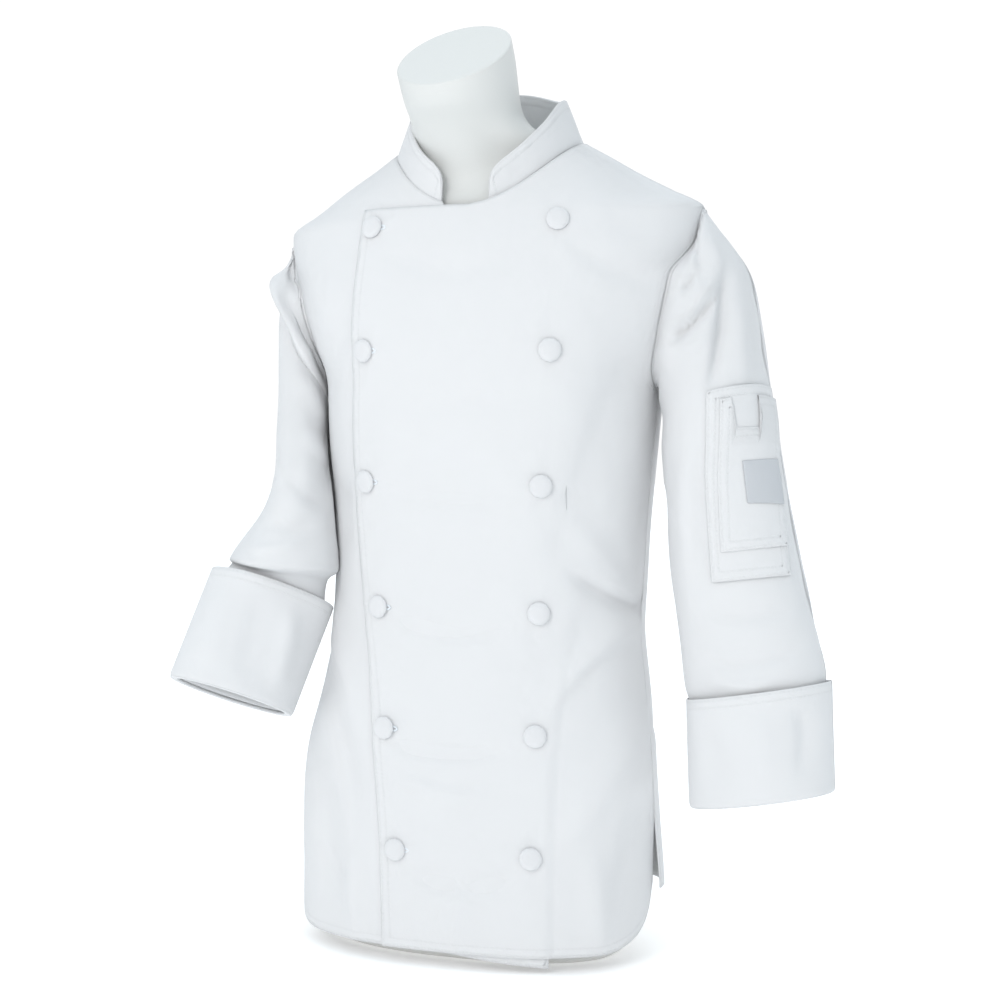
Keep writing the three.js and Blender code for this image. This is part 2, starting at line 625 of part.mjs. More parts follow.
// How far a neck circle reaches from the body's middle in one direction.
function neckReach(angle, z, neck) {
  const offset = new THREE.Vector2(neck.x(z) - body.lean(z), neck.y(z));
  const towards = new THREE.Vector2(Math.sin(angle), -Math.cos(angle));
  const along = offset.dot(towards);
  const beside = offset.lengthSq() - along * along;
  const r = neck.r(z);
  return beside >= r * r ? 0 : along + Math.sqrt(r * r - beside);
}

function formReach(angle, z, neck) {
  const atShoulder = smoothstep(z, FORM.from, FORM.to);
  const inset = FORM.inset + (z < 1 ? FORM.baseInset - FORM.inset : 0);
  const level = z + FORM.shoulderDrop * atShoulder;
  const point = bodyPoint(angle, level, -inset * (1 - atShoulder));
  const offRidge = Math.sqrt(Math.abs(Math.cos(angle)));
  const reach = Math.hypot(point.x - body.lean(level), point.y) - FORM.shoulderInset * atShoulder * offRidge;
  const sharp = 24;
  return (reach ** sharp + neckReach(angle, z, neck) ** sharp) ** (1 / sharp);
}

function addForm() {
  const neck = columns(NECK, "z", ["x", "y", "r", "tilt"]);
  const turns = Array.from({ length: FORM.sides }, (_, j) => (2 * Math.PI * j) / FORM.sides);
  const torso = [...FORM_ROWS, ...SHOULDER_ROWS].map((z) =>
    turns.map((angle) => {
      const reach = formReach(angle, z, neck);
      return tilted(new THREE.Vector3(body.lean(z) + reach * Math.sin(angle), -reach * Math.cos(angle), z));
    }),
  );
  const top = NECK[NECK.length - 1];
  const necks = NECK_ROWS.map((z) => neckRing(turns, neck, z, neck.r(z)));
  const edge = neckRing(turns, neck, top.z, top.r - NECK_CAP.edge);
  const up = new THREE.Vector3(0, 0, 1).applyAxisAngle(new THREE.Vector3(1, 0, 0), rad(NECK_CAP.tilt));
  edge.forEach((point) => point.addScaledVector(up, NECK_CAP.edge * 0.5));
  meshFrom([...torso, ...necks, edge], { roundAcross: true, capStart: true, capEnd: true }, FORM_WHITE, "dress_form");
}

function neckRing(turns, neck, z, r) {
  const lean = new THREE.Vector3(1, 0, 0);
  return turns.map((angle) => {
    const spread = lerp(NECK_FOOT.spread, 1, clamp((z - NECK_FOOT.from) / (NECK_FOOT.to - NECK_FOOT.from), 0, 1));
    const arm = new THREE.Vector3(r * spread * Math.sin(angle), -r * Math.cos(angle), 0);
    arm.applyAxisAngle(lean, rad(neck.tilt(z))).applyAxisAngle(new THREE.Vector3(0, 0, 1), rad(-NECK_CAP.turn));
    return arm.add(new THREE.Vector3(neck.x(z), neck.y(z), z));
  });
}

// Assembly

addPanelOf("front_left", overPanel(), CLOTH);
addPanelOf("front_right", underPanel(), CLOTH);
addPanelOf("back", backPanel(), CLOTH);
addPanelOf("collar", collarGrid(), COLLAR_CLOTH);

const leftSleeve = sleeveGrid(SLEEVE_LEFT, 1).map((row) => row.map(tilted));
const rightSleeve = sleeveGrid(SLEEVE_RIGHT, -1).map((row) => row.map(tilted));
addTube("sleeve_left", leftSleeve, CLOTH, 1);
addTube("sleeve_right", rightSleeve, CLOTH, -1);
addCuff("cuff_left", SLEEVE_LEFT, CUFF.leftHeight, 1);
addCuff("cuff_right", SLEEVE_RIGHT, CUFF.rightHeight, -1);

const leftRows = sleeveRows(SLEEVE_LEFT);
const overPocket = PATCH_CLEAR * 1.5 + PATCH_CLOTH;
const overPenPocket = overPocket + PATCH_CLOTH + PATCH_CLEAR / 2;
addPatch("sleeve_pocket", leftSleeve, leftRows, POCKET, PATCH_CLEAR, WHITE_CLOTH);
addPatch("pen_pocket", leftSleeve, leftRows, PEN_POCKET, overPocket, WHITE_CLOTH, NOTCH);
addPatch("blank_label", leftSleeve, leftRows, LABEL, overPenPocket, LABEL_CLOTH);

BUTTON_ROWS.forEach(({ z, spread, middle }, row) => {
  addButton(`button_${2 * row + 1}`, middle - spread, z);
  addButton(`button_${2 * row + 2}`, middle + spread, z);
});

addForm();

export default jacket;
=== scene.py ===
"""A women's double-breasted chef jacket on a limbless dress form, as an add-on that builds its visible model.

Lengths in the tables and surface functions are millimetres. Each mesh is scaled to metres when it is made.
"""
import math

import bpy
import numpy as np
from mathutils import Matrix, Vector


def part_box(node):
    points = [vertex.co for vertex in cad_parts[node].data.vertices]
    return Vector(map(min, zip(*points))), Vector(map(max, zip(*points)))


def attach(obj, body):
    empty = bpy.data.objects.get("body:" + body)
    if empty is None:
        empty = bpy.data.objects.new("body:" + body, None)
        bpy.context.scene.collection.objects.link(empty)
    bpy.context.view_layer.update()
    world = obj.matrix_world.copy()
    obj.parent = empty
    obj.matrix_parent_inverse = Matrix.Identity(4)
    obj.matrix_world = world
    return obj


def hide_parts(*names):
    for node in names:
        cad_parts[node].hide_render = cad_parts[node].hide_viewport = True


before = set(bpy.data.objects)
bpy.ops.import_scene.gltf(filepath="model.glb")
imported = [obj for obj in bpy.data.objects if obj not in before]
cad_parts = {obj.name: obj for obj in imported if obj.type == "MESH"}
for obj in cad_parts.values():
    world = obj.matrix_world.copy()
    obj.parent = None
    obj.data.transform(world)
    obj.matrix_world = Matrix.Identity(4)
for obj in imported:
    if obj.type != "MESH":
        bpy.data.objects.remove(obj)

bl_info = {
    "name": "Chef Jacket Builder",
    "version": (1, 0, 0),
    "blender": (4, 5, 0),
    "location": "View3D > Sidebar > Jacket",
    "description": "Builds a buttoned chef jacket on a dress form, piece by piece",
    "category": "Add Mesh",
}

MM = 0.001
SIDE = math.pi / 2
TURN = 2 * math.pi

# Gap between sewn pieces, how far from a seam the creases fade in, and a distance that stands for no seam.
SEAM = 0.3
SEAM_FADE = 12
UNSEWN = 99.0

# Level sections of the buttoned body: height, lean to the wearer's left, half width, depth to the front,
# depth to the back, and the exponent of the superellipse.
BODY = np.array([
    (0, -2, 161, 97, 106, 2.4),
    (60, -2, 163, 98, 107, 2.4),
    (120, -1, 163, 99, 106, 2.4),
    (180, 1, 158, 98, 102, 2.4),
    (240, 6, 147, 95, 96, 2.4),
    (298, 9, 140, 93, 92, 2.4),
    (350, 11, 141, 94, 94, 2.4),
    (410, 12, 144, 98, 98, 2.4),
    (470, 13, 148, 104, 101, 2.4),
    (505, 14, 151, 105, 103, 2.35),
    (541, 14, 165, 104, 103, 2.3),
    (575, 14, 178, 100, 101, 2.2),
    (610, 14, 186, 92, 98, 2.1),
    (642, 13, 189, 82, 92, 2),
    (658, 13, 163, 76, 88, 2),
    (674, 12, 137, 68, 82, 2),
    (690, 12, 111, 58, 75, 2),
    (706, 11, 85, 48, 68, 2),
    (724, 11, 58, 40, 61, 2),
])
TILT = {"drop": 10, "at": 185, "low": 480, "high": 640}
ARMHOLE = {"top": 642, "bottom": 497, "front": 42, "back": 48, "inset": 1, "slim": 0.42}
ARMHOLE_STITCH = ARMHOLE["bottom"] + 2
NECKLINE = {"front": 654, "side": 52, "back": 16}

# Rows of a body panel below, along and above the armhole, and each panel's columns between its lines.
PANEL_ROWS = {"below": 140, "along": 49, "above": 22}
COLUMNS = {"over": [88, 8, 56], "under": [64, 36], "back": [150]}

# Each piece's soft waves: the shortest and longest in millimetres, and the seed of their directions.
WAVES = {"over": ((70, 190), 3), "under": ((60, 170), 5), "back": ((80, 200), 8), "collar": ((34, 90), 11)}
SLEEVE_WAVES = (46, 120)

# Height and distance from the body's middle of the over panel's free edge.
OVER_EDGE = [(14, -53), (104, -56), (206, -67), (310, -86), (418, -96), (531, -97), (654, -92)]
FRONTS = {"hem": 14, "corner": 56, "under_edge": 94, "under_drop": 3, "hem_drop": 11, "run": 14}
BACK = {"hem": 46, "left_corner": 60, "vent_top": 150, "flare": 8}

# The over panel comes down to the under one over a run that is longer above the waist.
OVER_RUN = {"short": 6, "long": 50, "low": 250, "high": 400}

# Share of the way round the collar, height and inward lean.
COLLAR_FORM = [(0, 27, 1), (0.5, 33, 7), (1, 39, 17), (1.5, 39, 12), (2, 38, 7)]
COLLAR = {"gap": 22, "round": 14, "cut": 0.8, "sunk": 0.6, "low": 1.6, "columns": 241, "rows": 23}

# Height of each button row, half the distance between its two buttons, and the row's middle.
BUTTON_ROWS = [
    (638, 81, 13), (531, 82, 12), (418, 78, 7), (310, 71, 10.5), (206, 66, 13.5), (101, 59, 17.5),
]

# A button's dent and the ring of small wrinkles round it, in millimetres.
DENT = {"reach": 14, "ring": 19, "ring_reach": 8, "wrinkles": 5, "wrinkle_share": 0.4, "tilt_share": 0.1}

# Rings down each sleeve: centre, half width, half depth, turn to the front, lift of the outer side and lift
# of the front side in degrees.
SLEEVE_LEFT = np.array([
    (189.5, 0, 562, 68.5, 50, 0, 70, 0),
    (204, 0, 537, 64, 53, 0, 54, 0),
    (213, -1, 498, 51, 54, 0, 32, 0),
    (218, -4, 462, 51, 52, 0, 20, 0),
    (223, -8, 425, 52, 50, 0, 14, 1),
    (233, -14, 363, 55, 47, 0, 11, 3),
    (246, -20, 301, 58, 45, 0, 10, 4),
    (256, -26, 254, 59.5, 41, 0, 10, 4),
    (259, -28, 238, 57, 39, 0, 10, 4),
    (261, -31, 200, 57, 39, 0, 10, 4),
    (264, -34, 157, 57, 39, 0, 10, 4),
])
SLEEVE_RIGHT = np.array([
    (-159, 0, 554, 67, 47, 0, 70, 10),
    (-162, -5, 538, 70, 56, 0, 64, 26),
    (-162.5, -6, 531, 68, 58, 0, 63, 27),
    (-158, -6, 528, 63, 51, 0, 66, 27),
    (-158, -9, 514, 50, 50, 0, 60, 18),
    (-155, -16, 484, 32, 52, 0, 42, 6),
    (-150, -29, 450, 26, 54, 0, 20, 0),
    (-146, -42, 418, 27, 54, 0, 12, 0),
    (-149, -52, 385, 34, 52, 4, 8, 0),
    (-158, -62, 354, 46, 50, 8, 5, 2),
    (-161, -66, 340, 49, 50, 12, 6, 4),
    (-164, -69, 335, 43, 33, 18, 10, 5),
    (-169, -74, 318, 47, 29, 26, 17, 8),
    (-175, -82, 298, 51.5, 30.5, 30, 20, 13),
    (-193, -108, 230, 51.5, 30.5, 30, 20, 17),
])
SLEEVE_CLEARANCE = 2.2

# A sleeve's grid, how its creased cloth keeps clear of the body, and the row tucked in at the armhole.
SLEEVE = {"step": 3.2, "head_rows": 20, "least_rows": 3, "head_rise": 12, "turns": 112, "clear": 1.2,
          "clear_from": 0.4, "tuck_out": 3.0, "tuck_in": 2.6}
GATHERS = {"count": 31, "sway": 2, "sway_count": 5, "at": 0.35, "reach": 0.3}
CUFF = {"stand_off": 3, "cloth": 2.6, "left": 89, "right": 100, "fold": 3, "outer_wall": 4, "turns": 120}

# Patches on the left sleeve: ring numbers from top to bottom, degrees round the sleeve at top and bottom, and
# how far the top and the bottom climb towards the front, in ring numbers.
POCKET = {"rings": (3.57, 6.45), "top": (2, 84), "low": (30, 102), "rise": (0.45, 0.06), "lift": 0.9}
PEN_POCKET = {"rings": (3.78, 6.08), "top": (2, 72), "low": (27, 89), "rise": (0.38, 0.06), "lift": 2.6,
              "notch": (0.47, 0.84, 4.4)}
LABEL = {"rings": (4.94, 5.55), "top": (22, 60), "low": (24, 61), "rise": (0.12, 0.1), "lift": 4.2}

# The dress form: how far it is sunk under the jacket, its shoulders, its rounded foot, and how its
# torso blends into the neck.
FORM = {"inset": 22, "drop": 2.9, "shoulder": 7, "low": 625, "high": 662, "foot": 8, "foot_high": 6,
        "turns": 128, "blend": 24, "smooth_from": 668, "smooth_steps": 70}
NECK = [
    (640, -4, -4, 40, 0),
    (700, 0.4, -20, 44.4, 0),
    (727, 0.2, -32, 46.4, 0),
    (742, -1, -41, 49.5, 12),
    (762, -1.5, -49, 50.5, 24),
    (781, -2.8, -57, 51, 36),
]
NECK_TOP = NECK[-1][0]
NECK_CAP = {"tilt": 36, "turn": 9, "edge": 3.0, "rise": 0.6}
NECK_FOOT = {"low": 712, "high": 722, "spread": 1.1}

# The key light, in metres.
KEY_LIGHT = {"place": (-0.4, -1.9, 1.4), "size": 0.6}

# The photograph's camera: where it looks, from how far, and its focal length in pixels of a 1000 pixel
# picture.
CAMERA = {"target": (16.9, 5.8, 397.6), "azimuth": 19, "elevation": 4.4, "distance": 1786, "focal": 2000}

# Creases traced in the picture: route in pixels, depth in millimetres (below 0 is a valley), and width to the
# left and right of the route's direction.
FRONT_CREASES = [
    ([(646, 330), (606, 420), (572, 520), (552, 600)], -1.6, 16, 26),
    ([(652, 610), (625, 602), (596, 588), (560, 566)], -3.4, 5, 9),
    ([(652, 622), (612, 640), (572, 676), (548, 716)], 2.2, 12, 8),
    ([(656, 690), (626, 752), (586, 818), (548, 862)], 2.0, 20, 11),
    ([(652, 780), (632, 850), (618, 930)], -2.2, 12, 16),
    ([(372, 484), (420, 497), (480, 500), (536, 490)], -1.2, 8, 13),
    ([(378, 612), (420, 628), (470, 634), (530, 618)], -1.5, 7, 12),
    ([(386, 740), (420, 752), (470, 756), (528, 744)], -1.9, 6, 11),
    ([(392, 772), (440, 792), (500, 798)], 1.5, 9, 6),
    ([(398, 866), (440, 886), (490, 888), (526, 868)], -1.8, 7, 12),
    ([(450, 958), (456, 912), (470, 866)], 1.3, 12, 9),
    ([(600, 962), (598, 900), (588, 836)], 1.6, 10, 14),
    ([(368, 240), (410, 262), (470, 268), (548, 232)], -0.7, 10, 14),
    ([(366, 392), (430, 402), (500, 398), (560, 380)], -0.9, 12, 20),
    ([(560, 236), (600, 262), (640, 280), (668, 284)], -1.1, 9, 15),
    ([(556, 500), (586, 540), (612, 572), (645, 596)], 1.0, 14, 10),
    ([(372, 650), (372, 700), (380, 760), (388, 830)], 0.8, 7, 9),
]
UNDER_CREASES = [
    ([(318, 640), (330, 700), (346, 770), (362, 850)], -2.6, 8, 12),
    ([(304, 700), (318, 770), (328, 850), (332, 920)], -2.4, 9, 14),
    ([(330, 586), (336, 640), (352, 700)], 1.8, 7, 9),
    ([(345, 850), (352, 900), (358, 955)], 1.4, 7, 9),
    ([(308, 820), (330, 862), (352, 884)], -1.2, 5, 8),
    ([(300, 260), (320, 300), (340, 350)], 1.0, 8, 12),
    ([(338, 470), (345, 520), (347, 570)], -1.0, 5, 7),
]
LEFT_SLEEVE_CREASES = [
    ([(726, 258), (723, 300), (716, 356), (706, 398)], -3.6, 4, 8),
    ([(738, 296), (742, 345), (744, 392)], 1.8, 9, 6),
    ([(664, 342), (686, 327), (704, 309), (723, 280)], -4.6, 4, 8),
    ([(672, 330), (692, 314), (706, 292), (720, 262)], 3.4, 6, 7),
    ([(676, 352), (700, 336), (718, 310)], 2.0, 7, 7),
    ([(678, 292), (690, 280), (700, 262)], -2.0, 3, 5),
    ([(690, 236), (700, 262), (704, 292)], -1.6, 4, 6),
    ([(702, 228), (716, 254), (722, 280)], 1.2, 5, 5),
    ([(686, 420), (684, 500), (688, 580), (690, 640)], 1.6, 10, 12),
    ([(696, 440), (700, 520), (704, 600)], -1.3, 7, 9),
    ([(690, 604), (730, 616), (776, 612), (806, 596)], -1.5, 7, 12),
    ([(692, 650), (730, 664), (780, 656), (814, 636)], -1.7, 6, 10),
    ([(700, 676), (740, 686), (790, 678)], 1.2, 6, 6),
    ([(786, 400), (796, 480), (806, 560), (814, 640)], -1.4, 9, 9),
    ([(760, 270), (766, 330), (770, 384)], -1.0, 7, 10),
]
RIGHT_SLEEVE_CREASES = [
    ([(286, 300), (300, 340), (318, 372)], 1.6, 6, 9),
    ([(300, 372), (314, 404), (334, 436)], 2.2, 7, 8),
    ([(286, 250), (296, 280), (312, 312)], -1.6, 5, 7),
    ([(292, 330), (304, 400), (306, 470), (290, 520)], 1.6, 10, 16),
    ([(322, 392), (330, 440), (334, 500)], -1.8, 7, 10),
    ([(282, 470), (304, 494), (332, 508)], -1.5, 6, 10),
    ([(262, 520), (292, 528), (326, 524)], -2.0, 6, 9),
    ([(246, 548), (276, 548), (310, 540)], 1.6, 6, 5),
    ([(300, 430), (318, 452), (338, 462)], 1.2, 6, 9),
]
LEFT_CUFF_CREASES = [
    ([(700, 716), (712, 756), (716, 800)], -1.4, 9, 13),
    ([(752, 712), (762, 752), (760, 800)], 1.3, 12, 15),
    ([(800, 702), (806, 740), (798, 786)], -1.8, 8, 12),
]
RIGHT_CUFF_CREASES = [
    ([(222, 578), (212, 630), (200, 684)], 1.2, 12, 14),
    ([(262, 588), (252, 640), (240, 694)], -1.2, 11, 14),
    ([(292, 600), (284, 650), (270, 704)], 2.2, 8, 10),
]

# The same kinds of crease where the picture doesn't reach: route in degrees round the body and millimetres of
# height, depth, and the two widths.
BACK_CREASES = [
    ([(120, 300), (150, 330), (178, 322), (214, 296)], -2.2, 9, 15),
    ([(128, 276), (160, 262), (196, 270)], 1.6, 10, 8),
    ([(134, 50), (140, 130), (150, 220)], 2.4, 11, 16),
    ([(166, 46), (168, 110), (160, 190)], -2.0, 12, 12),
    ([(200, 46), (196, 130), (206, 230)], 2.6, 15, 11),
    ([(232, 50), (228, 120), (236, 200)], -2.2, 10, 14),
    ([(118, 470), (134, 540), (140, 600)], -1.9, 8, 13),
    ([(242, 470), (226, 530), (222, 590)], -2.1, 12, 8),
    ([(150, 640), (176, 610), (206, 636)], 1.3, 12, 16),
    ([(112, 360), (128, 400), (136, 450)], 1.7, 9, 12),
    ([(246, 350), (234, 400), (220, 440)], 1.4, 12, 9),
    ([(96, 190), (112, 230), (130, 250)], -1.8, 7, 11),
    ([(262, 200), (250, 240), (228, 262)], -1.6, 10, 7),
]
# On the sleeves the route is in degrees round the sleeve and ring numbers down it.
LEFT_SLEEVE_HIDDEN = [
    ([(150, 5.2), (190, 5.5), (240, 5.3)], -2.4, 6, 10),
    ([(160, 6.3), (200, 6.5), (260, 6.2)], -1.8, 7, 9),
    ([(220, 1.2), (228, 2.4), (214, 3.8)], -2.2, 6, 9),
    ([(268, 1.6), (276, 3.0), (270, 4.4)], 1.8, 8, 10),
    ([(300, 2.4), (306, 4.2), (312, 5.6)], -1.5, 8, 12),
    ([(200, 7.2), (250, 7.5), (300, 7.2)], -1.6, 6, 8),
]
RIGHT_SLEEVE_HIDDEN = [
    ([(200, 5.6), (240, 6.2), (290, 6.0)], -2.2, 7, 10),
    ([(220, 8.0), (260, 8.6), (310, 8.2)], -2.0, 6, 11),
    ([(250, 2.0), (262, 4.0), (256, 6.0)], 1.7, 9, 7),
    ([(300, 7.0), (306, 8.8), (318, 9.8)], 1.6, 8, 10),
]


def cubic(rows, by, of):
    """A cubic through one column of a table against another, which never overshoots: slopes are the harmonic
    mean of the two secants, and 0 where these turn."""
    x = np.array([row[by] for row in rows], float)
    y = np.array([row[of] for row in rows], float)
    secant = np.diff(y) / np.diff(x)
    before, after = secant[:-1], secant[1:]
    same = before * after > 0
    middle = np.where(same, 2 * before * after / np.where(same, before + after, 1), 0)
    slope = np.concatenate([secant[:1], middle, secant[-1:]])

    def value(at):
        at = np.clip(at, x[0], x[-1])
        i = np.clip(np.searchsorted(x, at, side="right") - 1, 0, len(x) - 2)
        run = x[i + 1] - x[i]
        t = (at - x[i]) / run
        start = y[i] * (1 + 2 * t) * (1 - t) ** 2 + slope[i] * run * t * (1 - t) ** 2
        return start + y[i + 1] * t * t * (3 - 2 * t) + slope[i + 1] * run * t * t * (t - 1)

    return value


lean_at, half_at, front_at, back_at, square_at = (cubic(BODY, 0, k) for k in range(1, 6))
over_edge_at = cubic(OVER_EDGE, 0, 1)
collar_height_at = cubic(COLLAR_FORM, 0, 1)
collar_lean_at = cubic(COLLAR_FORM, 0, 2)
neck_x_at, neck_y_at, neck_r_at, neck_tilt_at = (cubic(NECK, 0, k) for k in range(1, 5))


def ease(x, low, high):
    """0 up to low, 1 from high, and a smooth rise between them."""
    t = np.clip((x - low) / (high - low), 0, 1)
    return t * t * (3 - 2 * t)


def mix(a, b, t):
    return a + (b - a) * t


def body_point(angle, z, grow=0.0):
    """The body's surface at an angle from the middle of the front and a height: a superellipse, grown."""
    angle, z, grow = np.broadcast_arrays(angle, z, grow)
    n = square_at(z)
    depth = np.where(np.cos(angle) > 0, front_at(z), back_at(z)) + grow
    across = np.abs(np.sin(angle)) / (half_at(z) + grow)
    r = (across**n + (np.abs(np.cos(angle)) / depth) ** n) ** (-1 / n)
    return np.stack([lean_at(z) + r * np.sin(angle), -r * np.cos(angle), z], -1)


def front_angle(x, z):
    """The angle at which the front stands x to the left of the body's middle."""
    n = square_at(z)
    share = np.minimum(np.abs(x) / half_at(z), 0.999)
    return np.arctan2(x, front_at(z) * (1 - share**n) ** (1 / n))


def armhole_share(reach, is_front):
    """The armhole's reach from the side line as a share of its full reach: a lens, slimmer at the upper
    front."""
    slim = np.where(is_front, mix(1.0, ARMHOLE["slim"], ease(reach, 0.25, 0.7)), 1.0)
    return slim * np.sqrt(1 - reach**2)


def outer_angle(z, is_back):
    """The left side seam, armhole edge or shoulder seam at a height: a line, with the armhole's lens."""
    middle = (ARMHOLE["top"] + ARMHOLE["bottom"]) / 2
    reach = np.clip((z - middle) / (ARMHOLE["top"] - middle), -1, 1)
    width = ARMHOLE["back"] if is_back else ARMHOLE["front"]
    depth = back_at(z) if is_back else front_at(z)
    n = square_at(z)
    y = np.maximum(SEAM, width * armhole_share(reach, not is_back))
    x = half_at(z) * (1 - (y / depth) ** n) ** (1 / n)
    return np.arctan2(x, -y if is_back else y)


def armhole_point(turn, side, inset):
    """The armhole's edge at a turn from the shoulder by the front to the underarm, moved in by inset."""
    middle = (ARMHOLE["top"] + ARMHOLE["bottom"]) / 2
    z = middle + (ARMHOLE["top"] - middle - inset) * np.cos(turn)
    is_front = np.sin(turn) >= 0
    width = np.where(is_front, ARMHOLE["front"], ARMHOLE["back"]) - inset
    y = -width * np.sign(np.sin(turn)) * armhole_share(np.cos(turn), is_front)
    depth = np.where(is_front, front_at(z), back_at(z))
    n = square_at(z)
    x = half_at(z) * (1 - (np.abs(y) / depth) ** n) ** (1 / n)
    return np.stack([lean_at(z) + side * x, y, z], -1)


def neckline_height(angle):
    """Rises from the front to the shoulder, then a little more to the middle of the back, in two waves."""
    angle = np.abs(angle)
    front = NECKLINE["front"] + NECKLINE["side"] * (1 - np.cos(2 * np.minimum(angle, SIDE))) / 2
    return front + NECKLINE["back"] * (1 - np.cos(2 * np.maximum(angle - SIDE, 0))) / 2


def tilted(points):
    """The right shoulder hangs lower than the left one; the tilt fades out down to the chest."""
    points = np.array(points, float)
    share = np.clip(points[..., 0] / TILT["at"], -1, 1)
    points[..., 2] += TILT["drop"] * share * np.abs(share) * ease(points[..., 2], TILT["low"], TILT["high"])
    return points


def pushed_out(points, clearance):
    """Points inside the body grown by clearance move level outwards on to it."""
    x, y, z = np.moveaxis(points, -1, 0)
    n = square_at(z)
    half = half_at(z) + clearance
    depth = np.where(y < 0, front_at(z), back_at(z)) + clearance
    inside = (np.abs(x - lean_at(z)) / half) ** n + (np.abs(y) / depth) ** n
    scale = np.where(inside < 1, np.maximum(inside, 1e-9) ** (-1 / n), 1)
    return np.stack([lean_at(z) + (x - lean_at(z)) * scale, y * scale, z], -1)


def grid_normals(grid, is_round=False):
    """Unit normals of a grid of points, from the differences between neighbours."""
    if is_round:
        wide = np.concatenate([grid[:, -1:], grid, grid[:, :1]], 1)
        across = wide[:, 2:] - wide[:, :-2]
    else:
        across = np.gradient(grid, axis=1)
    normals = np.cross(across, np.gradient(grid, axis=0))
    return normals / np.maximum(np.linalg.norm(normals, axis=-1, keepdims=True), 1e-9)


def camera_axes():
    """The camera's look, right and up directions and its place."""
    azimuth, elevation = math.radians(CAMERA["azimuth"]), math.radians(CAMERA["elevation"])
    level = math.cos(elevation)
    look = np.array([-math.sin(azimuth) * level, math.cos(azimuth) * level, -math.sin(elevation)])
    right = np.array([math.cos(azimuth), math.sin(azimuth), 0])
    eye = np.array(CAMERA["target"]) - CAMERA["distance"] * look
    return look, right, np.cross(right, look), eye


def in_picture(points):
    """Where points fall in the 1000 pixel picture, and how far each is from the camera."""
    look, right, up, eye = camera_axes()
    from_eye = points - eye
    depth = from_eye @ look
    return np.stack([500 + CAMERA["focal"] * (from_eye @ right) / depth,
                     500 - CAMERA["focal"] * (from_eye @ up) / depth], -1), depth


def smooth_route(route, steps=10):
    """More points on a route: a Catmull-Rom curve through it."""
    points = np.array(route, float)
    wide = np.concatenate([2 * points[:1] - points[1:2], points, 2 * points[-1:] - points[-2:-1]])
    t = np.linspace(0, 1, steps, endpoint=False)[:, None]
    pieces = []
    for i in range(len(points) - 1):
        a, b, c, d = wide[i:i + 4]
        pieces.append(0.5 * (2 * b + (c - a) * t + (2 * a - 5 * b + 4 * c - d) * t**2
                             + (3 * b - a - 3 * c + d) * t**3))
    return np.concatenate(pieces + [points[-1:]])


def crease(places, scale, route, depth, left, right):
    """One crease's height at flat places: depth, times a bell across the route with its own width on each
    side, times a fade over the route's last parts. scale turns the places' units into millimetres."""
    line = smooth_route(route) * scale
    at = places * scale
    low, high = line.min(0) - 3 * max(left, right), line.max(0) + 3 * max(left, right)
    near = np.all((at > low) & (at < high), -1)
    height = np.zeros(near.shape)
    if not near.any():
        return height
    at = at[near]
    best = np.full(len(at), 1e9)
    side = np.zeros(len(at))
    share = np.zeros(len(at))
    for i in range(len(line) - 1):
        run = line[i + 1] - line[i]
        t = np.clip(((at - line[i]) @ run) / max(run @ run, 1e-9), 0, 1)
        away = at - line[i] - t[:, None] * run
        distance = np.linalg.norm(away, axis=-1)
        closer = distance < best
        best = np.where(closer, distance, best)
        side = np.where(closer, np.sign(run[0] * away[:, 1] - run[1] * away[:, 0]), side)
        share = np.where(closer, (i + t) / (len(line) - 1), share)
    width = np.where(side > 0, left, right)
    fade = ease(share, -0.02, 0.3) * (1 - ease(share, 0.62, 1.02))
    height[near] = depth * np.exp(-((best / width) ** 2)) * fade
    return height


def picture_creases(points, normals, table, strength):
    """The heights of creases traced in the picture, on what faces the camera."""
    pixels, depth = in_picture(points)
    towards = camera_axes()[3] - points
    towards /= np.linalg.norm(towards, axis=-1, keepdims=True)
    facing = ease((normals * towards).sum(-1), 0.02, 0.25)
    scale = CAMERA["distance"] / CAMERA["focal"]
    return strength * facing * sum(crease(pixels, scale, *row) for row in table)


def hidden_creases(places, scale, table, strength):
    """The heights of creases given in a piece's own coordinates."""
    return strength * sum(crease(places, np.array(scale, float), *row) for row in table)


def unevenness(u, v, sizes, seed):
    """Soft irregular waves: a sum of eight sines whose directions and phases come from a seed."""
    rng = np.random.default_rng(seed)
    total = np.zeros(np.broadcast(u, v).shape)
    for _ in range(8):
        turn, size, phase = rng.uniform(0, TURN), rng.uniform(*sizes), rng.uniform(0, TURN)
        total += np.sin((u * math.cos(turn) + v * math.sin(turn)) * TURN / size + phase)
    return total / 4


class Piece:
    """A grid of outer points, the cloth's own coordinates, and the distance to the nearest stitched edge.

    The weave is measured from a column that runs straight along the cloth, which is the first one unless a
    piece names another.
    """

    def __init__(self, points, is_round=False):
        self.points = points
        self.is_round = is_round
        self.normals = grid_normals(points, is_round)
        across = np.diff(points, axis=1, append=points[:, :1] if is_round else points[:, -1:])
        down = np.diff(points, axis=0, prepend=points[:1])
        widths = np.linalg.norm(across, axis=-1)
        self.u = np.concatenate([np.zeros((len(points), 1)), np.cumsum(widths, 1)[:, :-1]], 1)
        self.v = np.cumsum(np.linalg.norm(down, axis=-1), 0)
        self.edge = np.full(self.u.shape, UNSEWN)
        self.run = self.u.copy()
        self.straight = 0

    def raise_by(self, height):
        """Moves each point along its normal, and finds the normals again."""
        self.points = self.points + self.normals * height[..., None]
        self.normals = grid_normals(self.points, self.is_round)

    def stitch(self, distance, run):
        """A stitched edge: keeps the smaller distance at each point, and the length along that edge."""
        nearer = distance < self.edge
        self.edge = np.where(nearer, distance, self.edge)
        self.run = np.where(nearer, run, self.run)


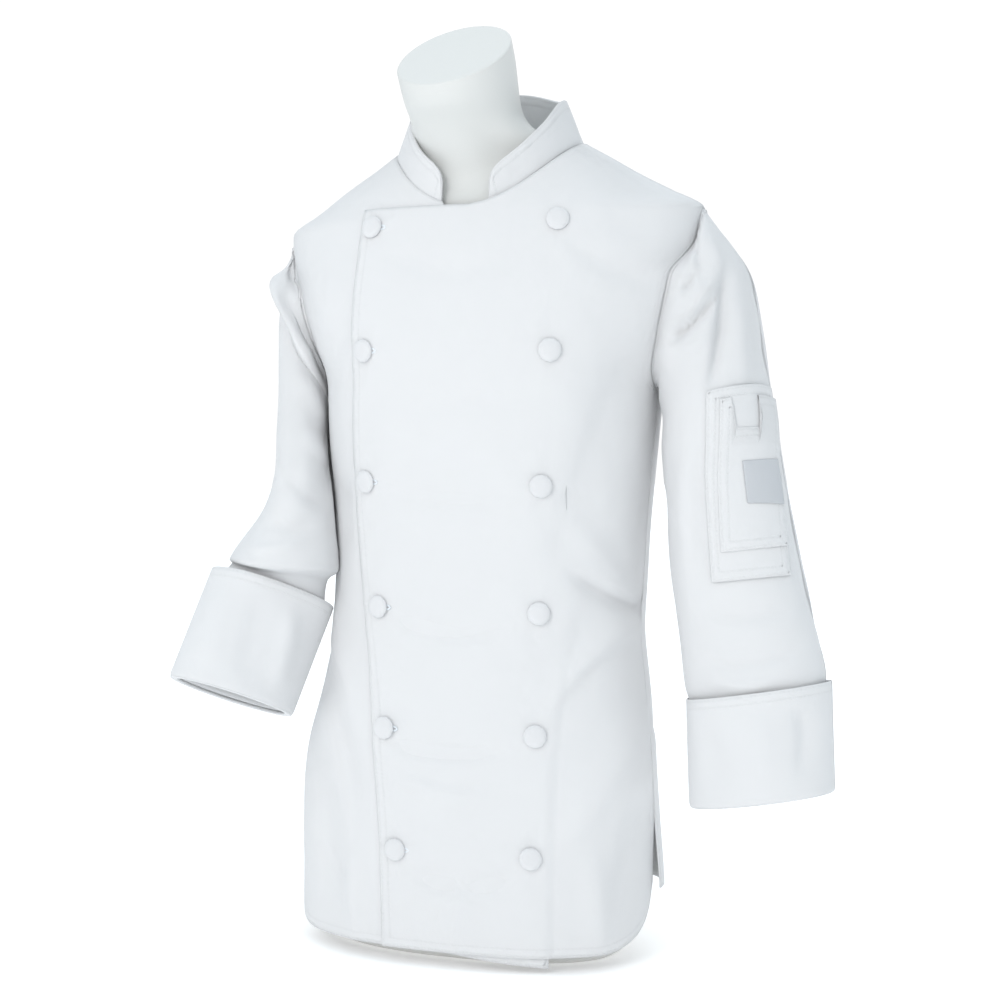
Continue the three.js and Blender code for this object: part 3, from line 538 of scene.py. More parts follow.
def make_mesh(name, rows, is_round, values, close_rows=False, caps=False):
    """A mesh over a grid of points: rows run up, columns run round. values are float attributes in
    millimetres. caps close the first and last row with one face each."""
    count, width = rows.shape[:2]
    i = np.arange(count if close_rows else count - 1)[:, None]
    j = np.arange(width if is_round else width - 1)[None, :]
    after = (i + 1) % count
    beside = (j + 1) % width
    quads = np.stack(np.broadcast_arrays(i * width + j, i * width + beside, after * width + beside,
                                         after * width + j), -1).reshape(-1, 4)
    mesh = bpy.data.meshes.new(name)
    faces = quads.tolist()
    if caps:
        ring = np.arange(width)
        faces += [ring[::-1].tolist(), (ring + (count - 1) * width).tolist()]
    mesh.from_pydata((rows.reshape(-1, 3) * MM).tolist(), [], faces)
    mesh.polygons.foreach_set("use_smooth", np.ones(len(faces), bool))
    for key, value in values.items():
        layer = mesh.attributes.new(key, "FLOAT", "POINT")
        layer.data.foreach_set("value", np.ascontiguousarray(value.reshape(-1), dtype=np.float32))
    mesh.update()
    obj = bpy.data.objects.new(name, mesh)
    bpy.context.scene.collection.objects.link(obj)
    return obj


def place_in_row(obj, material, node=None):
    """Gives a piece its material, its body, its slot and the solid that it replaces."""
    obj.data.materials.append(material)
    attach(obj, "root")
    if node:
        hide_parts(node)
    return obj


def add_cloth(piece, name, node, material, thickness):
    """A cloth shell of a piece's outer points, thickened inwards."""
    width = piece.u - piece.u[:, piece.straight][:, None]
    values = {"cloth_u": width, "cloth_v": piece.v, "edge": piece.edge, "run": piece.run}
    obj = make_mesh(name, piece.points, piece.is_round, values)
    solid = obj.modifiers.new("Cloth", "SOLIDIFY")
    solid.thickness = thickness * MM
    solid.offset = -1
    return place_in_row(obj, material, node)


# Shapes of the pieces

def row_heights(hem):
    """Heights of rows on a panel's outer edge: even steps, with cosine steps along the armhole."""
    middle = (ARMHOLE["top"] + ARMHOLE["bottom"]) / 2
    below = np.linspace(hem, ARMHOLE["bottom"], PANEL_ROWS["below"], endpoint=False)
    turn = np.linspace(0, math.pi, PANEL_ROWS["along"])
    armhole = middle - (ARMHOLE["top"] - middle) * np.cos(turn)
    above = np.linspace(ARMHOLE["top"], neckline_height(SIDE), PANEL_ROWS["above"])[1:]
    return np.concatenate([below, armhole, above])


def panel(steps, angles_at, hem_at, top_at, lowest):
    """A body panel's angle and height grids: each column runs from the hem to the neckline, between lines
    that angles_at gives at every height."""
    span = np.repeat(np.arange(len(steps)), steps)
    along = np.concatenate([np.arange(n) / n for n in steps])
    span = np.append(span, len(steps) - 1)
    along = np.append(along, 1.0)
    heights = row_heights(lowest)
    share = ((heights - lowest) / (heights[-1] - lowest))[:, None]
    column = np.arange(len(span))

    def angle_for(height):
        z = np.minimum(height, NECKLINE["front"])
        lines = np.stack(np.broadcast_arrays(*angles_at(z)))
        row = np.arange(z.shape[0])[:, None]
        return mix(lines[span[None, :], row, column], lines[span[None, :] + 1, row, column], along)

    level = np.full((1, len(span)), float(NECKLINE["front"]))
    top = top_at(angle_for(level))
    hem = hem_at(angle_for(np.full_like(level, FRONTS["hem"])))
    z = mix(hem, top, share)
    return angle_for(z), z


def front_hem(angle, lowest):
    """The hem rises round a quarter circle towards the side vent."""
    to_side = (SIDE - np.abs(angle)) * half_at(0) * 0.72
    inside = np.clip(FRONTS["corner"] - to_side, 0, FRONTS["corner"])
    return lowest + FRONTS["corner"] - np.sqrt(FRONTS["corner"] ** 2 - inside**2)


def over_lift(angle, z, lift):
    """How far the over panel stands off: it lies on the under panel, and comes down softly beyond it."""
    x = body_point(angle, z)[..., 0] - lean_at(z)
    run = mix(OVER_RUN["short"], OVER_RUN["long"], ease(z, OVER_RUN["low"], OVER_RUN["high"]))
    return lift * (1 - ease(x, FRONTS["under_edge"] - OVER_RUN["short"], FRONTS["under_edge"] + run))


def button_dents(piece, strength):
    """The cloth is drawn in at each button, with a few small radiating wrinkles round it."""
    height = np.zeros(piece.u.shape)
    for row, (z, spread, middle) in enumerate(BUTTON_ROWS):
        for side in (-1, 1):
            across = piece.points[..., 0] - (middle + side * spread)
            up = piece.points[..., 2] - z - TILT["drop"] * DENT["tilt_share"] * side
            distance = np.hypot(across, up)
            wave = np.cos(np.arctan2(up, across) * DENT["wrinkles"] + row * 1.7 + side)
            ring = np.exp(-(((distance - DENT["ring"]) / DENT["ring_reach"]) ** 2))
            height -= strength * np.exp(-((distance / DENT["reach"]) ** 2))
            height += DENT["wrinkle_share"] * strength * wave * ring
    return np.where(piece.points[..., 1] < 0, height, 0)


def panel_stitches(piece, z, start, end):
    """Stitched edges of a panel: the hem, and its first and last side above the heights start and end."""
    piece.stitch(piece.v - piece.v[:1], piece.u)
    piece.stitch(np.where(z > start, piece.u, UNSEWN), piece.v)
    piece.stitch(np.where(z > end, piece.u[:, -1:] - piece.u, UNSEWN), piece.v)


def panel_waves(piece, name, settings):
    """A body panel's soft waves, in level and upright places so that they run on across the seams."""
    return settings.unevenness * unevenness(piece.points[..., 0], piece.points[..., 2], *WAVES[name])


def over_panel(settings):
    """The left front: from its free edge over the under panel to the left side seam."""
    def angles(z):
        return [front_angle(over_edge_at(z), z), front_angle(FRONTS["under_edge"], z),
                front_angle(FRONTS["under_edge"] + FRONTS["run"], z), outer_angle(z, False)]

    def hem(angle):
        return front_hem(np.maximum(angle, 0), FRONTS["hem"])

    def top(angle):
        return np.where(angle > 0.1, neckline_height(angle), NECKLINE["front"])

    angle, z = panel(COLUMNS["over"], angles, hem, top, float(hem(SIDE)))
    piece = Piece(tilted(body_point(angle, z, over_lift(angle, z, settings.over_lift))))
    panel_stitches(piece, z, 0, ARMHOLE_STITCH)
    height = picture_creases(piece.points, piece.normals, FRONT_CREASES, settings.crease_depth)
    height += button_dents(piece, settings.button_dent)
    height += panel_waves(piece, "over", settings)
    seam = ease(piece.u[:, -1:] - piece.u, 0, SEAM_FADE)
    below_neck = ease(NECKLINE["side"] + NECKLINE["front"] + 1 - piece.points[..., 2], 0, 30)
    piece.raise_by(height * (seam * below_neck))
    return piece


def under_panel(settings):
    """The right front: from the right side seam under the left front to its own free edge."""
    def angles(z):
        return [-outer_angle(z, False), front_angle(over_edge_at(z), z),
                front_angle(FRONTS["under_edge"], z)]

    gap_angle = -front_angle(COLLAR["gap"] - 4, NECKLINE["front"])

    def hem(angle):
        lowest = FRONTS["hem"] - FRONTS["hem_drop"] * np.clip(angle, 0, 1)
        return front_hem(np.minimum(angle, 0), lowest)

    def top(angle):
        return np.where(angle < gap_angle, neckline_height(angle),
                        NECKLINE["front"] - FRONTS["under_drop"])

    angle, z = panel(COLUMNS["under"], angles, hem, top, float(hem(-SIDE)))
    piece = Piece(tilted(body_point(angle, z)))
    piece.straight = -1
    panel_stitches(piece, z, ARMHOLE_STITCH, 0)
    shown = 1 - ease(piece.points[..., 0] - lean_at(z) - over_edge_at(z), -14, -3)
    height = picture_creases(piece.points, piece.normals, UNDER_CREASES, settings.crease_depth)
    height += panel_waves(piece, "under", settings)
    piece.raise_by(height * shown * ease(piece.u, 0, SEAM_FADE))
    return piece


def back_panel(settings):
    """The back: from the left side seam round to the right one, flared at the two side vents."""
    def angles(z):
        return [outer_angle(z, True), TURN - outer_angle(z, True)]

    def hem(angle):
        return BACK["hem"] + (BACK["left_corner"] - BACK["hem"]) * ease(math.pi - angle, 0.6, SIDE)

    def top(angle):
        return neckline_height(np.minimum(angle, TURN - angle))

    angle, z = panel(COLUMNS["back"], angles, hem, top, BACK["left_corner"])
    from_edge = np.minimum(angle - SIDE, 3 * SIDE - angle)
    flare = (BACK["flare"] * (1 - ease(from_edge, 0, 0.5))
             * (1 - ease(z, BACK["hem"], BACK["vent_top"])))
    piece = Piece(tilted(body_point(angle, z, flare)))
    piece.straight = piece.u.shape[1] // 2
    panel_stitches(piece, z, ARMHOLE_STITCH, ARMHOLE_STITCH)
    places = np.stack([np.degrees(angle), z], -1)
    height = hidden_creases(places, (2.3, 1), BACK_CREASES, settings.crease_depth)
    height += panel_waves(piece, "back", settings)
    seam = ease(piece.u, 0, SEAM_FADE) * ease(piece.u[:, -1:] - piece.u, 0, SEAM_FADE)
    below_neck = ease(NECKLINE["side"] + NECKLINE["front"] + 10 - piece.points[..., 2], 0, 36)
    piece.raise_by(height * seam * below_neck)
    return piece


def collar_band(settings):
    """The stand collar: a band on the neckline that leans in, with its two front ends rounded."""
    start = float(front_angle(COLLAR["gap"], NECKLINE["front"]))
    angle = np.linspace(start, TURN - start, COLLAR["columns"])[None, :]
    share = np.linspace(0, 1, COLLAR["rows"])[:, None]
    near = np.minimum(angle, TURN - angle)
    at = np.where(near < SIDE, (near - start) / (SIDE - start), near / SIDE)
    foot = body_point(angle, neckline_height(near), -COLLAR["sunk"])
    outwards = np.stack([np.sin(angle), -np.cos(angle), np.zeros_like(angle)], -1)
    to_end = (near - start) * front_at(NECKLINE["front"])
    rounding = np.clip(COLLAR["round"] - to_end, 0, COLLAR["round"])
    cut = COLLAR["round"] - np.sqrt(COLLAR["round"] ** 2 - rounding**2)
    height = (collar_height_at(at) - cut * COLLAR["cut"]) * share
    points = foot + outwards * (-collar_lean_at(at) * share)[..., None]
    points[..., 2] += height - COLLAR["low"] * (1 - share)
    piece = Piece(tilted(points))
    piece.stitch(piece.v[-1:] - piece.v, piece.u)
    piece.stitch(piece.u, piece.v)
    piece.stitch(piece.u[:, -1:] - piece.u, piece.v)
    waves = settings.unevenness * 0.6 * unevenness(piece.u, piece.v, *WAVES["collar"])
    piece.raise_by(waves * ease(share, 0, 0.4))
    return piece


def ring_points(rings, turn, side, grow=0.0):
    """Points of each ring at turns from its outer side by the front: shape (rings, turns, 3)."""
    yaw, lift, nod = np.radians(rings[:, 5:8]).T
    out = np.stack([side * np.cos(yaw) * np.cos(lift), -np.sin(yaw) * np.cos(lift), np.sin(lift)], -1)
    front = np.stack([-side * np.sin(yaw) * np.cos(nod), -np.cos(yaw) * np.cos(nod), np.sin(nod)], -1)
    width, depth = rings[:, 3] + grow, rings[:, 4] + grow
    return (rings[:, None, :3] + out[:, None] * (width[:, None] * np.cos(turn))[..., None]
            + front[:, None] * (depth[:, None] * np.sin(turn))[..., None])


def along_rings(points, k):
    """Centripetal Catmull-Rom curves down the columns of points, at ring numbers k."""
    wide = np.concatenate([2 * points[:1] - points[1:2], points, 2 * points[-1:] - points[-2:-1]])
    i = np.clip(np.floor(k).astype(int), 0, len(points) - 2)
    t = (k - i)[:, None, None]
    a, b, c, d = (wide[i + n] for n in range(4))
    first, middle, last = (
        np.maximum(np.linalg.norm(q - p, axis=-1, keepdims=True), 1e-6) ** 0.5
        for p, q in ((a, b), (b, c), (c, d))
    )
    start = ((b - a) / first - (c - a) / (first + middle) + (c - b) / middle) * middle
    end = ((c - b) / middle - (d - b) / (middle + last) + (d - c) / last) * middle
    return b + start * t + (3 * (c - b) - 2 * start - end) * t**2 + (2 * (b - c) + start + end) * t**3


def sleeve_surface(rings, side, k, turn):
    """The sleeve's smooth outer surface at ring numbers k and turns, kept clear of the body."""
    edge = armhole_point(turn, side, ARMHOLE["inset"])[None]
    points = np.concatenate([edge, ring_points(rings, turn, side)])
    points[1:] = pushed_out(points[1:], SLEEVE_CLEARANCE)
    surface = along_rings(points, k)
    clear = pushed_out(surface, SLEEVE_CLEARANCE)
    return tilted(np.where((k > 0)[:, None, None], clear, surface))


def ring_numbers(rings):
    """Ring numbers down a sleeve, about evenly spaced in millimetres, with close rows on its head."""
    centres = np.concatenate([[rings[0, :3] + (0, 0, SLEEVE["head_rise"])], rings[:, :3]])
    gaps = np.linalg.norm(np.diff(centres, axis=0), axis=-1)
    counts = np.maximum(np.ceil(gaps / SLEEVE["step"]).astype(int), SLEEVE["least_rows"])
    counts[0] = SLEEVE["head_rows"]
    parts = [i + np.arange(n) / n for i, n in enumerate(counts)]
    return np.concatenate(parts + [[float(len(rings))]])


def sleeve_piece(rings, side, traced, hidden, seed, settings):
    """A sleeve: its surface from the armhole down, its creases, and a tucked row that hides the gap."""
    k = ring_numbers(rings)
    turn = np.linspace(0, TURN, SLEEVE["turns"], endpoint=False)
    points = sleeve_surface(rings, side, k, turn)
    if side > 0:
        points = points[:, ::-1]
        turn = turn[::-1]
    piece = Piece(points[::-1], True)
    down = k[::-1][:, None]
    degrees = np.degrees(turn)[None, :]
    places = np.stack(np.broadcast_arrays(degrees, down), -1)
    height = picture_creases(piece.points, piece.normals, traced, settings.crease_depth)
    ring_length = 34 if side > 0 else 24
    height = height + hidden_creases(places, (0.9, ring_length), hidden, settings.crease_depth)
    height += settings.unevenness * unevenness(piece.u, piece.v, SLEEVE_WAVES, seed)
    around = np.radians(degrees)
    sway = GATHERS["sway"] * np.sin(around * GATHERS["sway_count"] + seed)
    pucker = np.sin(around * GATHERS["count"] + sway)
    bell = np.exp(-(((down - GATHERS["at"]) / GATHERS["reach"]) ** 2))
    height += settings.pucker * pucker * bell * ease(down, 0, 0.2)
    piece.raise_by(height * ease(down, 0, 0.35))
    free = pushed_out(piece.points, SLEEVE["clear"])
    piece.points = np.where(down[..., None] > SLEEVE["clear_from"], free, piece.points)
    tuck = tilted(armhole_point(turn, side, -SLEEVE["tuck_out"]))
    tuck[:, 0] -= side * SLEEVE["tuck_in"]
    piece.points = np.concatenate([piece.points, tuck[None]])
    for key in ("u", "v", "edge", "run"):
        value = getattr(piece, key)
        setattr(piece, key, np.concatenate([value, value[-1:]]))
    piece.normals = grid_normals(piece.points, True)
    return piece, k, turn


def cuff_outline(height):
    """A cuff across its cloth: distance from the sleeve and height above its end, down the outer wall, round
    the fold and up the inner wall."""
    outside = CUFF["stand_off"] + CUFF["cloth"]
    under = -SEAM - CUFF["fold"]
    corners = [(outside, height - 0.8), (outside, 1.0), (outside - 0.8, under + 0.9), (outside - 2.2, under),
               (-1.0, under), (-1.6, under + 0.7), (-1.6, -0.5), (3, -0.5), (3, height - 0.8),
               (3.6, height), (outside - 0.6, height)]
    steps = [34, 2, 1, 3, 1, 1, 2, 34, 1, 1, 1]
    parts = [np.linspace(corners[i], corners[(i + 1) % len(corners)], n, endpoint=False)
             for i, n in enumerate(steps)]
    return np.concatenate(parts)


def cuff_shape(rings, side, height, traced, seed, settings):
    """A turned-back cuff: its outline carried round the sleeve's last ring, waved towards its free edge."""
    outline = cuff_outline(height)
    off, up = outline.T
    turn = np.linspace(0, TURN, CUFF["turns"], endpoint=False)
    is_outer = off > CUFF["outer_wall"]
    axis = rings[-2, :3] - rings[-1, :3]
    axis = axis / np.linalg.norm(axis)
    wave = 0.9 * np.sin(3 * turn + seed) + 0.6 * np.sin(5 * turn + 2 * seed)
    flare = settings.cuff_wave * wave[None, :] * (np.clip(up, 0, None)[:, None] / height) ** 1.5

    def shape(extra):
        last = np.stack([ring_points(rings[-1:], turn, side, value)[0] for value in off])
        near, far = (ring_points(rings[-1:], turn, side, value)[0] for value in (0.0, 1.0))
        outwards = far - near
        points = last + outwards[None] * extra[..., None] + axis * up[:, None, None]
        return tilted(pushed_out(points, SLEEVE_CLEARANCE + 1))

    wall = shape(flare)
    outer = grid_normals(wall, True) * side
    folds = picture_creases(wall, outer, traced, settings.crease_depth)
    rise = is_outer.astype(float)[:, None] * folds
    matched = np.zeros_like(rise)
    for i in np.flatnonzero(up > 0):
        matched[i] = rise[np.argmin(np.abs(up - up[i]) + 50 * ~is_outer)]
    level = ease(up, 2, 22)[:, None]
    points = shape(flare + matched * level)
    u = np.broadcast_to(turn[None, :] * rings[-1, 3:5].mean(), points.shape[:2])
    v = np.broadcast_to(np.where(is_outer, up, -up - 20)[:, None], points.shape[:2])
    edge = np.broadcast_to((height - up)[:, None], points.shape[:2])
    return points, {"cloth_u": u, "cloth_v": v, "edge": edge, "run": u}


def patch_piece(sleeve, k, turn, patch, steps, settings):
    """A patch on the left sleeve: its points are the sleeve's own creased surface, read between grid lines,
    and lifted off it."""
    rows, columns = steps
    down = np.linspace(0, 1, rows)[:, None]
    across = np.linspace(0, 1, columns)[None, :]
    top = np.full(across.shape, float(patch["rings"][0]))
    if "notch" in patch:
        start, end, low = patch["notch"]
        soft = 0.012
        inside = ease(across, start - soft, start + soft) * (1 - ease(across, end - soft, end + soft))
        top = mix(top, low, inside)
    rise, low_rise = patch["rise"]
    start_ring = float(patch["rings"][0]) - rise * across
    ring = mix(start_ring, patch["rings"][1] - low_rise * across, down)
    ring = ring + (top - patch["rings"][0]) * np.clip(1 - down / 0.4, 0, 1)
    degrees = mix(mix(*patch["top"], across), mix(*patch["low"], across), down)
    count = len(k)
    row = np.interp(ring, k, np.arange(count)[::-1])
    column = np.interp(degrees, np.degrees(turn[::-1]), np.arange(len(turn))[::-1])
    i = np.clip(np.floor(row).astype(int), 0, count - 2)
    j = np.clip(np.floor(column).astype(int), 0, len(turn) - 2)
    s, t = (row - i)[..., None], (column - j)[..., None]

    def read(grid):
        return mix(mix(grid[i, j], grid[i, j + 1], t), mix(grid[i + 1, j], grid[i + 1, j + 1], t), s)

    surface = read(sleeve.points)
    outwards = read(sleeve.normals)
    outwards = outwards / np.linalg.norm(outwards, axis=-1, keepdims=True)
    middle = np.sin(math.pi * down) ** 0.5 * np.sin(math.pi * across) ** 0.5
    bulge = settings.pocket_bulge * middle
    piece = Piece((surface + outwards * (patch["lift"] + 1.2 + bulge)[..., None])[::-1, ::-1])
    piece.stitch(piece.v, piece.u)
    piece.stitch(piece.v[-1:] - piece.v, piece.u)
    piece.stitch(piece.u, piece.v)
    piece.stitch(piece.u[:, -1:] - piece.u, piece.v)
    return piece


def button_points(settings, seed):
    """A cloth-covered button: a dome on a drawn-in base, gathered a little round its rim. The axis is +Z."""
    radius, height, base = settings.button_radius, settings.button_height, 1.6
    angle = np.linspace(0, TURN, 48, endpoint=False)[None, :]
    arc = np.linspace(0, SIDE, 15)[:, None]
    low = np.array([[radius * 0.62], [radius * 0.84], [radius * 0.96]])
    low_z = np.array([[0.0], [0.25], [0.8]])
    r = np.concatenate([low, radius * np.cos(arc) ** 0.82])
    z = np.concatenate([low_z, base + (height - base) * np.sin(arc) ** 0.9])
    rim = np.exp(-(((z - base) / 1.3) ** 2))
    gather = 0.16 * np.sin(angle * 14 + seed) + 0.12 * np.sin(angle * 9 + 2.3 * seed)
    r = np.maximum(r, 0.02) + gather * rim * (r > 1)
    return np.stack([r * np.cos(angle), r * np.sin(angle), np.broadcast_to(z, r.shape)], -1)


def form_points():
    """The dress form: the body's own form, sunk under the jacket, which runs into a leaning neck."""
    angle = np.linspace(0, TURN, FORM["turns"], endpoint=False)[None, :]
    z = np.concatenate([[0, 2, 4], np.linspace(6, 612, 90), np.linspace(620, 703, 44)])[:, None]
    shoulder = ease(z, FORM["low"], FORM["high"])
    foot = FORM["foot"] * (1 - ease(z, 0, FORM["foot_high"]))
    level = z + FORM["drop"] * shoulder
    point = body_point(angle, level, -(FORM["inset"] + foot) * (1 - shoulder))
    reach = np.hypot(point[..., 0] - lean_at(level), point[..., 1])
    reach = reach - FORM["shoulder"] * shoulder * np.sqrt(np.abs(np.cos(angle)))
    offset = np.stack([neck_x_at(z) - lean_at(z), neck_y_at(z)], -1)
    towards = np.stack([np.sin(angle), -np.cos(angle)], -1)
    along = (offset * towards).sum(-1)
    beside = (offset**2).sum(-1) - along**2
    neck = along + np.sqrt(np.maximum(neck_r_at(z) ** 2 - beside, 0))
    neck = np.where(beside < neck_r_at(z) ** 2, np.maximum(neck, 0), 0)
    r = (reach ** FORM["blend"] + neck ** FORM["blend"]) ** (1 / FORM["blend"])
    torso = tilted(np.stack([lean_at(z) + r * np.sin(angle), -r * np.cos(angle),
                             np.broadcast_to(z, r.shape)], -1))
    heights = np.linspace(NECK_FOOT["low"], NECK_TOP, 34)[:, None]
    necks = neck_ring(angle, heights, neck_r_at(heights))
    turn = np.linspace(0, SIDE, 9)[:, None]
    top = np.full(turn.shape, float(NECK_TOP))
    cap = neck_ring(angle, top, neck_r_at(top) - NECK_CAP["edge"] * (1 - np.cos(turn)))
    tilt = math.radians(NECK_CAP["tilt"])
    up = np.array([0, -math.sin(tilt), math.cos(tilt)])
    cap = cap + up * (NECK_CAP["edge"] * NECK_CAP["rise"] * np.sin(turn))[..., None]
    sides = np.concatenate([torso, necks])
    first = int(np.argmax(z[:, 0] > FORM["smooth_from"]))
    for _ in range(FORM["smooth_steps"]):
        sides[first:-8] = (sides[first - 1:-9] + 2 * sides[first:-8] + sides[first + 1:-7]) / 4
    centre = cap[-1].mean(0)
    lid = np.stack([mix(centre, cap[-1], s) for s in (0.8, 0.5, 0.2, 0.01)])
    floor = np.stack([mix(torso[0].mean(0), torso[0], s) for s in (0.01, 0.4, 0.8)])
    return np.concatenate([floor, sides, cap[1:], lid])


def neck_ring(angle, z, r):
    """Circles of the neck, tilted to the front and turned."""
    low, high = NECK_FOOT["low"], NECK_FOOT["high"]
    spread = np.where(z < high, mix(NECK_FOOT["spread"], 1.0, (z - low) / (high - low)), 1.0)
    level = np.zeros(np.broadcast(r, angle).shape)
    arm = np.stack([r * spread * np.sin(angle), -r * np.cos(angle), level], -1)
    tilt = np.radians(neck_tilt_at(z))
    y, up = arm[..., 1] * np.cos(tilt), arm[..., 1] * np.sin(tilt)
    turn = math.radians(-NECK_CAP["turn"])
    x = arm[..., 0] * math.cos(turn) - y * math.sin(turn)
    y = arm[..., 0] * math.sin(turn) + y * math.cos(turn)
    return np.stack([x + neck_x_at(z), y + neck_y_at(z), up + z], -1)


# Materials

class Wire:
    """A shader socket that takes part in arithmetic: every operator adds one Math node."""

    def __init__(self, tree, socket):
        self.tree = tree
        self.socket = socket

    def math(self, operation, *others):
        node = self.tree.nodes.new("ShaderNodeMath")
        node.operation = operation
        for slot, value in zip(node.inputs, (self, *others)):
            if isinstance(value, Wire):
                self.tree.links.new(value.socket, slot)
            else:
                slot.default_value = value
        return Wire(self.tree, node.outputs[0])

    def __add__(self, other):
        return self.math("ADD", other)

    __radd__ = __add__

    def __sub__(self, other):
        return self.math("SUBTRACT", other)

    def __rsub__(self, other):
        return self.math("MULTIPLY", -1.0).math("ADD", other)

    def __mul__(self, other):
        return self.math("MULTIPLY", other)

    __rmul__ = __mul__

    def bell(self, width):
        """1 where the value is 0, fading away over width to both sides."""
        return (self * (1 / width)).math("POWER", 2.0).math("MULTIPLY", -1.0).math("EXPONENT")

    def above(self, low, high):
        """0 below low and 1 above high, with a smooth rise."""
        return self.node("ShaderNodeMapRange", {"Value": self, "From Min": low, "From Max": high},
                         interpolation_type="SMOOTHSTEP")

    def node(self, kind, inputs, output=0, **settings):
        """Adds a node: inputs are wires or constants by socket name, settings are its own properties."""
        node = self.tree.nodes.new(kind)
        for key, value in settings.items():
            setattr(node, key, value)
        for key, value in inputs.items():
            if isinstance(value, Wire):
                self.tree.links.new(value.socket, node.inputs[key])
            else:
                node.inputs[key].default_value = value
        return Wire(self.tree, node.outputs[output] if len(node.outputs) > output else None)


def new_material(name):
    """An empty node material, and a wire to start from."""
    material = bpy.data.materials.new(name)
    material.use_nodes = True
    material.node_tree.nodes.clear()
    return material, Wire(material.node_tree, None)


def cloth_material(name, color, settings, stitches=True, satin=0.0):
    """Cotton-blend twill: diagonal ribs, uneven yarns and soft crumples as bump, with two rows of stitches
    beside each sewn edge, and a doubled hem that stands a little higher."""
    material, start = new_material(name)
    u = start.node("ShaderNodeAttribute", {}, 2, attribute_name="cloth_u")
    v = start.node("ShaderNodeAttribute", {}, 2, attribute_name="cloth_v")
    place = start.node("ShaderNodeCombineXYZ", {"X": u, "Y": v, "Z": 0.0})
    rib = ((u + v * 1.35) * (TURN / settings.twill_rib)).math("SINE")
    weft = ((v - u * 0.15) * (TURN / (settings.twill_rib * 0.62))).math("SINE")
    yarn = start.node("ShaderNodeTexNoise", {"Vector": place, "Scale": 0.9, "Detail": 2.0, "Roughness": 0.6})
    soft = start.node("ShaderNodeTexNoise", {"Vector": place, "Scale": 0.026, "Detail": 2.0,
                                             "Roughness": 0.45})
    crumple = start.node("ShaderNodeTexNoise", {"Vector": place, "Scale": 0.085, "Detail": 2.0,
                                                "Roughness": 0.45, "Distortion": 0.6})
    height = rib * 0.035 + weft * 0.02 + yarn * 0.06 + soft * settings.crumple + crumple * 0.1
    shade = yarn * 0.02 + soft * 0.015
    if stitches:
        edge = start.node("ShaderNodeAttribute", {}, 2, attribute_name="edge")
        run = start.node("ShaderNodeAttribute", {}, 2, attribute_name="run")
        for inset in (2.0, settings.stitch_inset):
            off = edge - inset
            thread = (run * (TURN / settings.stitch_length)).math("SINE") * 0.5 + 0.5
            height = height - off.bell(0.9) * 0.3 + off.bell(0.45) * thread * 0.3
            # Painted shade: the colour is darker along each stitch row's groove, and a little lighter on each
            # stitch.
            shade = shade - off.bell(0.8) * 0.04 + off.bell(0.4) * thread * 0.03
        gathers = start.node("ShaderNodeTexNoise", {"Vector": place, "Scale": 0.1, "Detail": 2.0})
        height = height + gathers * (edge - 4.0).bell(9.0) * settings.seam_gather
        height = height + (1.0 - edge.above(settings.stitch_inset, settings.stitch_inset + 1.4)) * 0.3
    bump = start.node("ShaderNodeBump", {"Height": height * MM, "Strength": 1.0, "Distance": 1.0})
    tint = start.node("ShaderNodeHueSaturation", {"Value": shade + 0.98, "Color": (*color, 1.0)})
    rough = yarn * 0.1 + (0.8 - 0.3 * satin)
    surface = start.node("ShaderNodeBsdfPrincipled", {
        "Base Color": tint, "Roughness": rough, "Normal": bump, "Specular IOR Level": 0.25,
        "Sheen Weight": 0.08, "Sheen Roughness": 0.5,
    })
    start.node("ShaderNodeOutputMaterial", {"Surface": surface})
    return material


def form_material(settings):
    """Smooth white shell of the form: a faint mottle in colour and gloss, and a barely uneven surface."""
    material, start = new_material("FormShell")
    place = start.node("ShaderNodeTexCoord", {}, 3)
    mottle = start.node("ShaderNodeTexNoise", {"Vector": place, "Scale": 14.0, "Detail": 3.0})
    fine = start.node("ShaderNodeTexNoise", {"Vector": place, "Scale": 420.0, "Detail": 2.0})
    tint = start.node("ShaderNodeHueSaturation", {"Value": mottle * 0.03 + 0.975,
                                                  "Color": (*settings.form_color, 1.0)})
    bump = start.node("ShaderNodeBump", {"Height": fine * 0.00006 + mottle * 0.0006, "Strength": 1.0,
                                         "Distance": 1.0})
    surface = start.node("ShaderNodeBsdfPrincipled", {
        "Base Color": tint, "Roughness": mottle * 0.12 + 0.42, "Normal": bump, "Specular IOR Level": 0.3,
    })
    start.node("ShaderNodeOutputMaterial", {"Surface": surface})
    return material


# Settings: name, label, what it is, default, and lowest and highest value where there are such. Lengths are
# in millimetres, and a default of three numbers is a colour.
JACKET_SETTINGS = [
    ("crease_depth", "Crease Depth", "Scale of all the placed creases", 2.3, 0.0, 3.0),
    ("unevenness", "Unevenness", "Height of the cloth's soft waves", 0.7, 0.0),
    ("pucker", "Armhole Pucker", "Height of the gathers on the sleeve heads", 0.5),
    ("over_lift", "Overlap Lift", "How far the over panel stands off the under one", 2.4, 2.0, 5.0),
    ("button_dent", "Button Dent", "How far the cloth is drawn in at a button", 0.9),
    ("cuff_wave", "Cuff Wave", "How far the cuffs' free edges wave", 1.1),
    ("pocket_bulge", "Pocket Bulge", "How far the sleeve pocket stands out in its middle", 0.8),
    ("cloth_thickness", "Cloth Thickness", "Thickness of the twill", 1.6, 1.0),
    ("twill_rib", "Twill Rib", "Distance between the twill's ribs", 0.9),
    ("crumple", "Crumple", "Height of the soft crumples in the bump", 2.2),
    ("stitch_length", "Stitch Length", "Length of one stitch", 3.2),
    ("stitch_inset", "Stitch Inset", "Distance of the inner stitch row from an edge", 8.0),
    ("seam_gather", "Seam Gather", "Height of the gathers beside the stitches", 1.0),
    ("cloth_color", "Cloth Colour", "Colour of the twill", (0.735, 0.735, 0.742)),
]
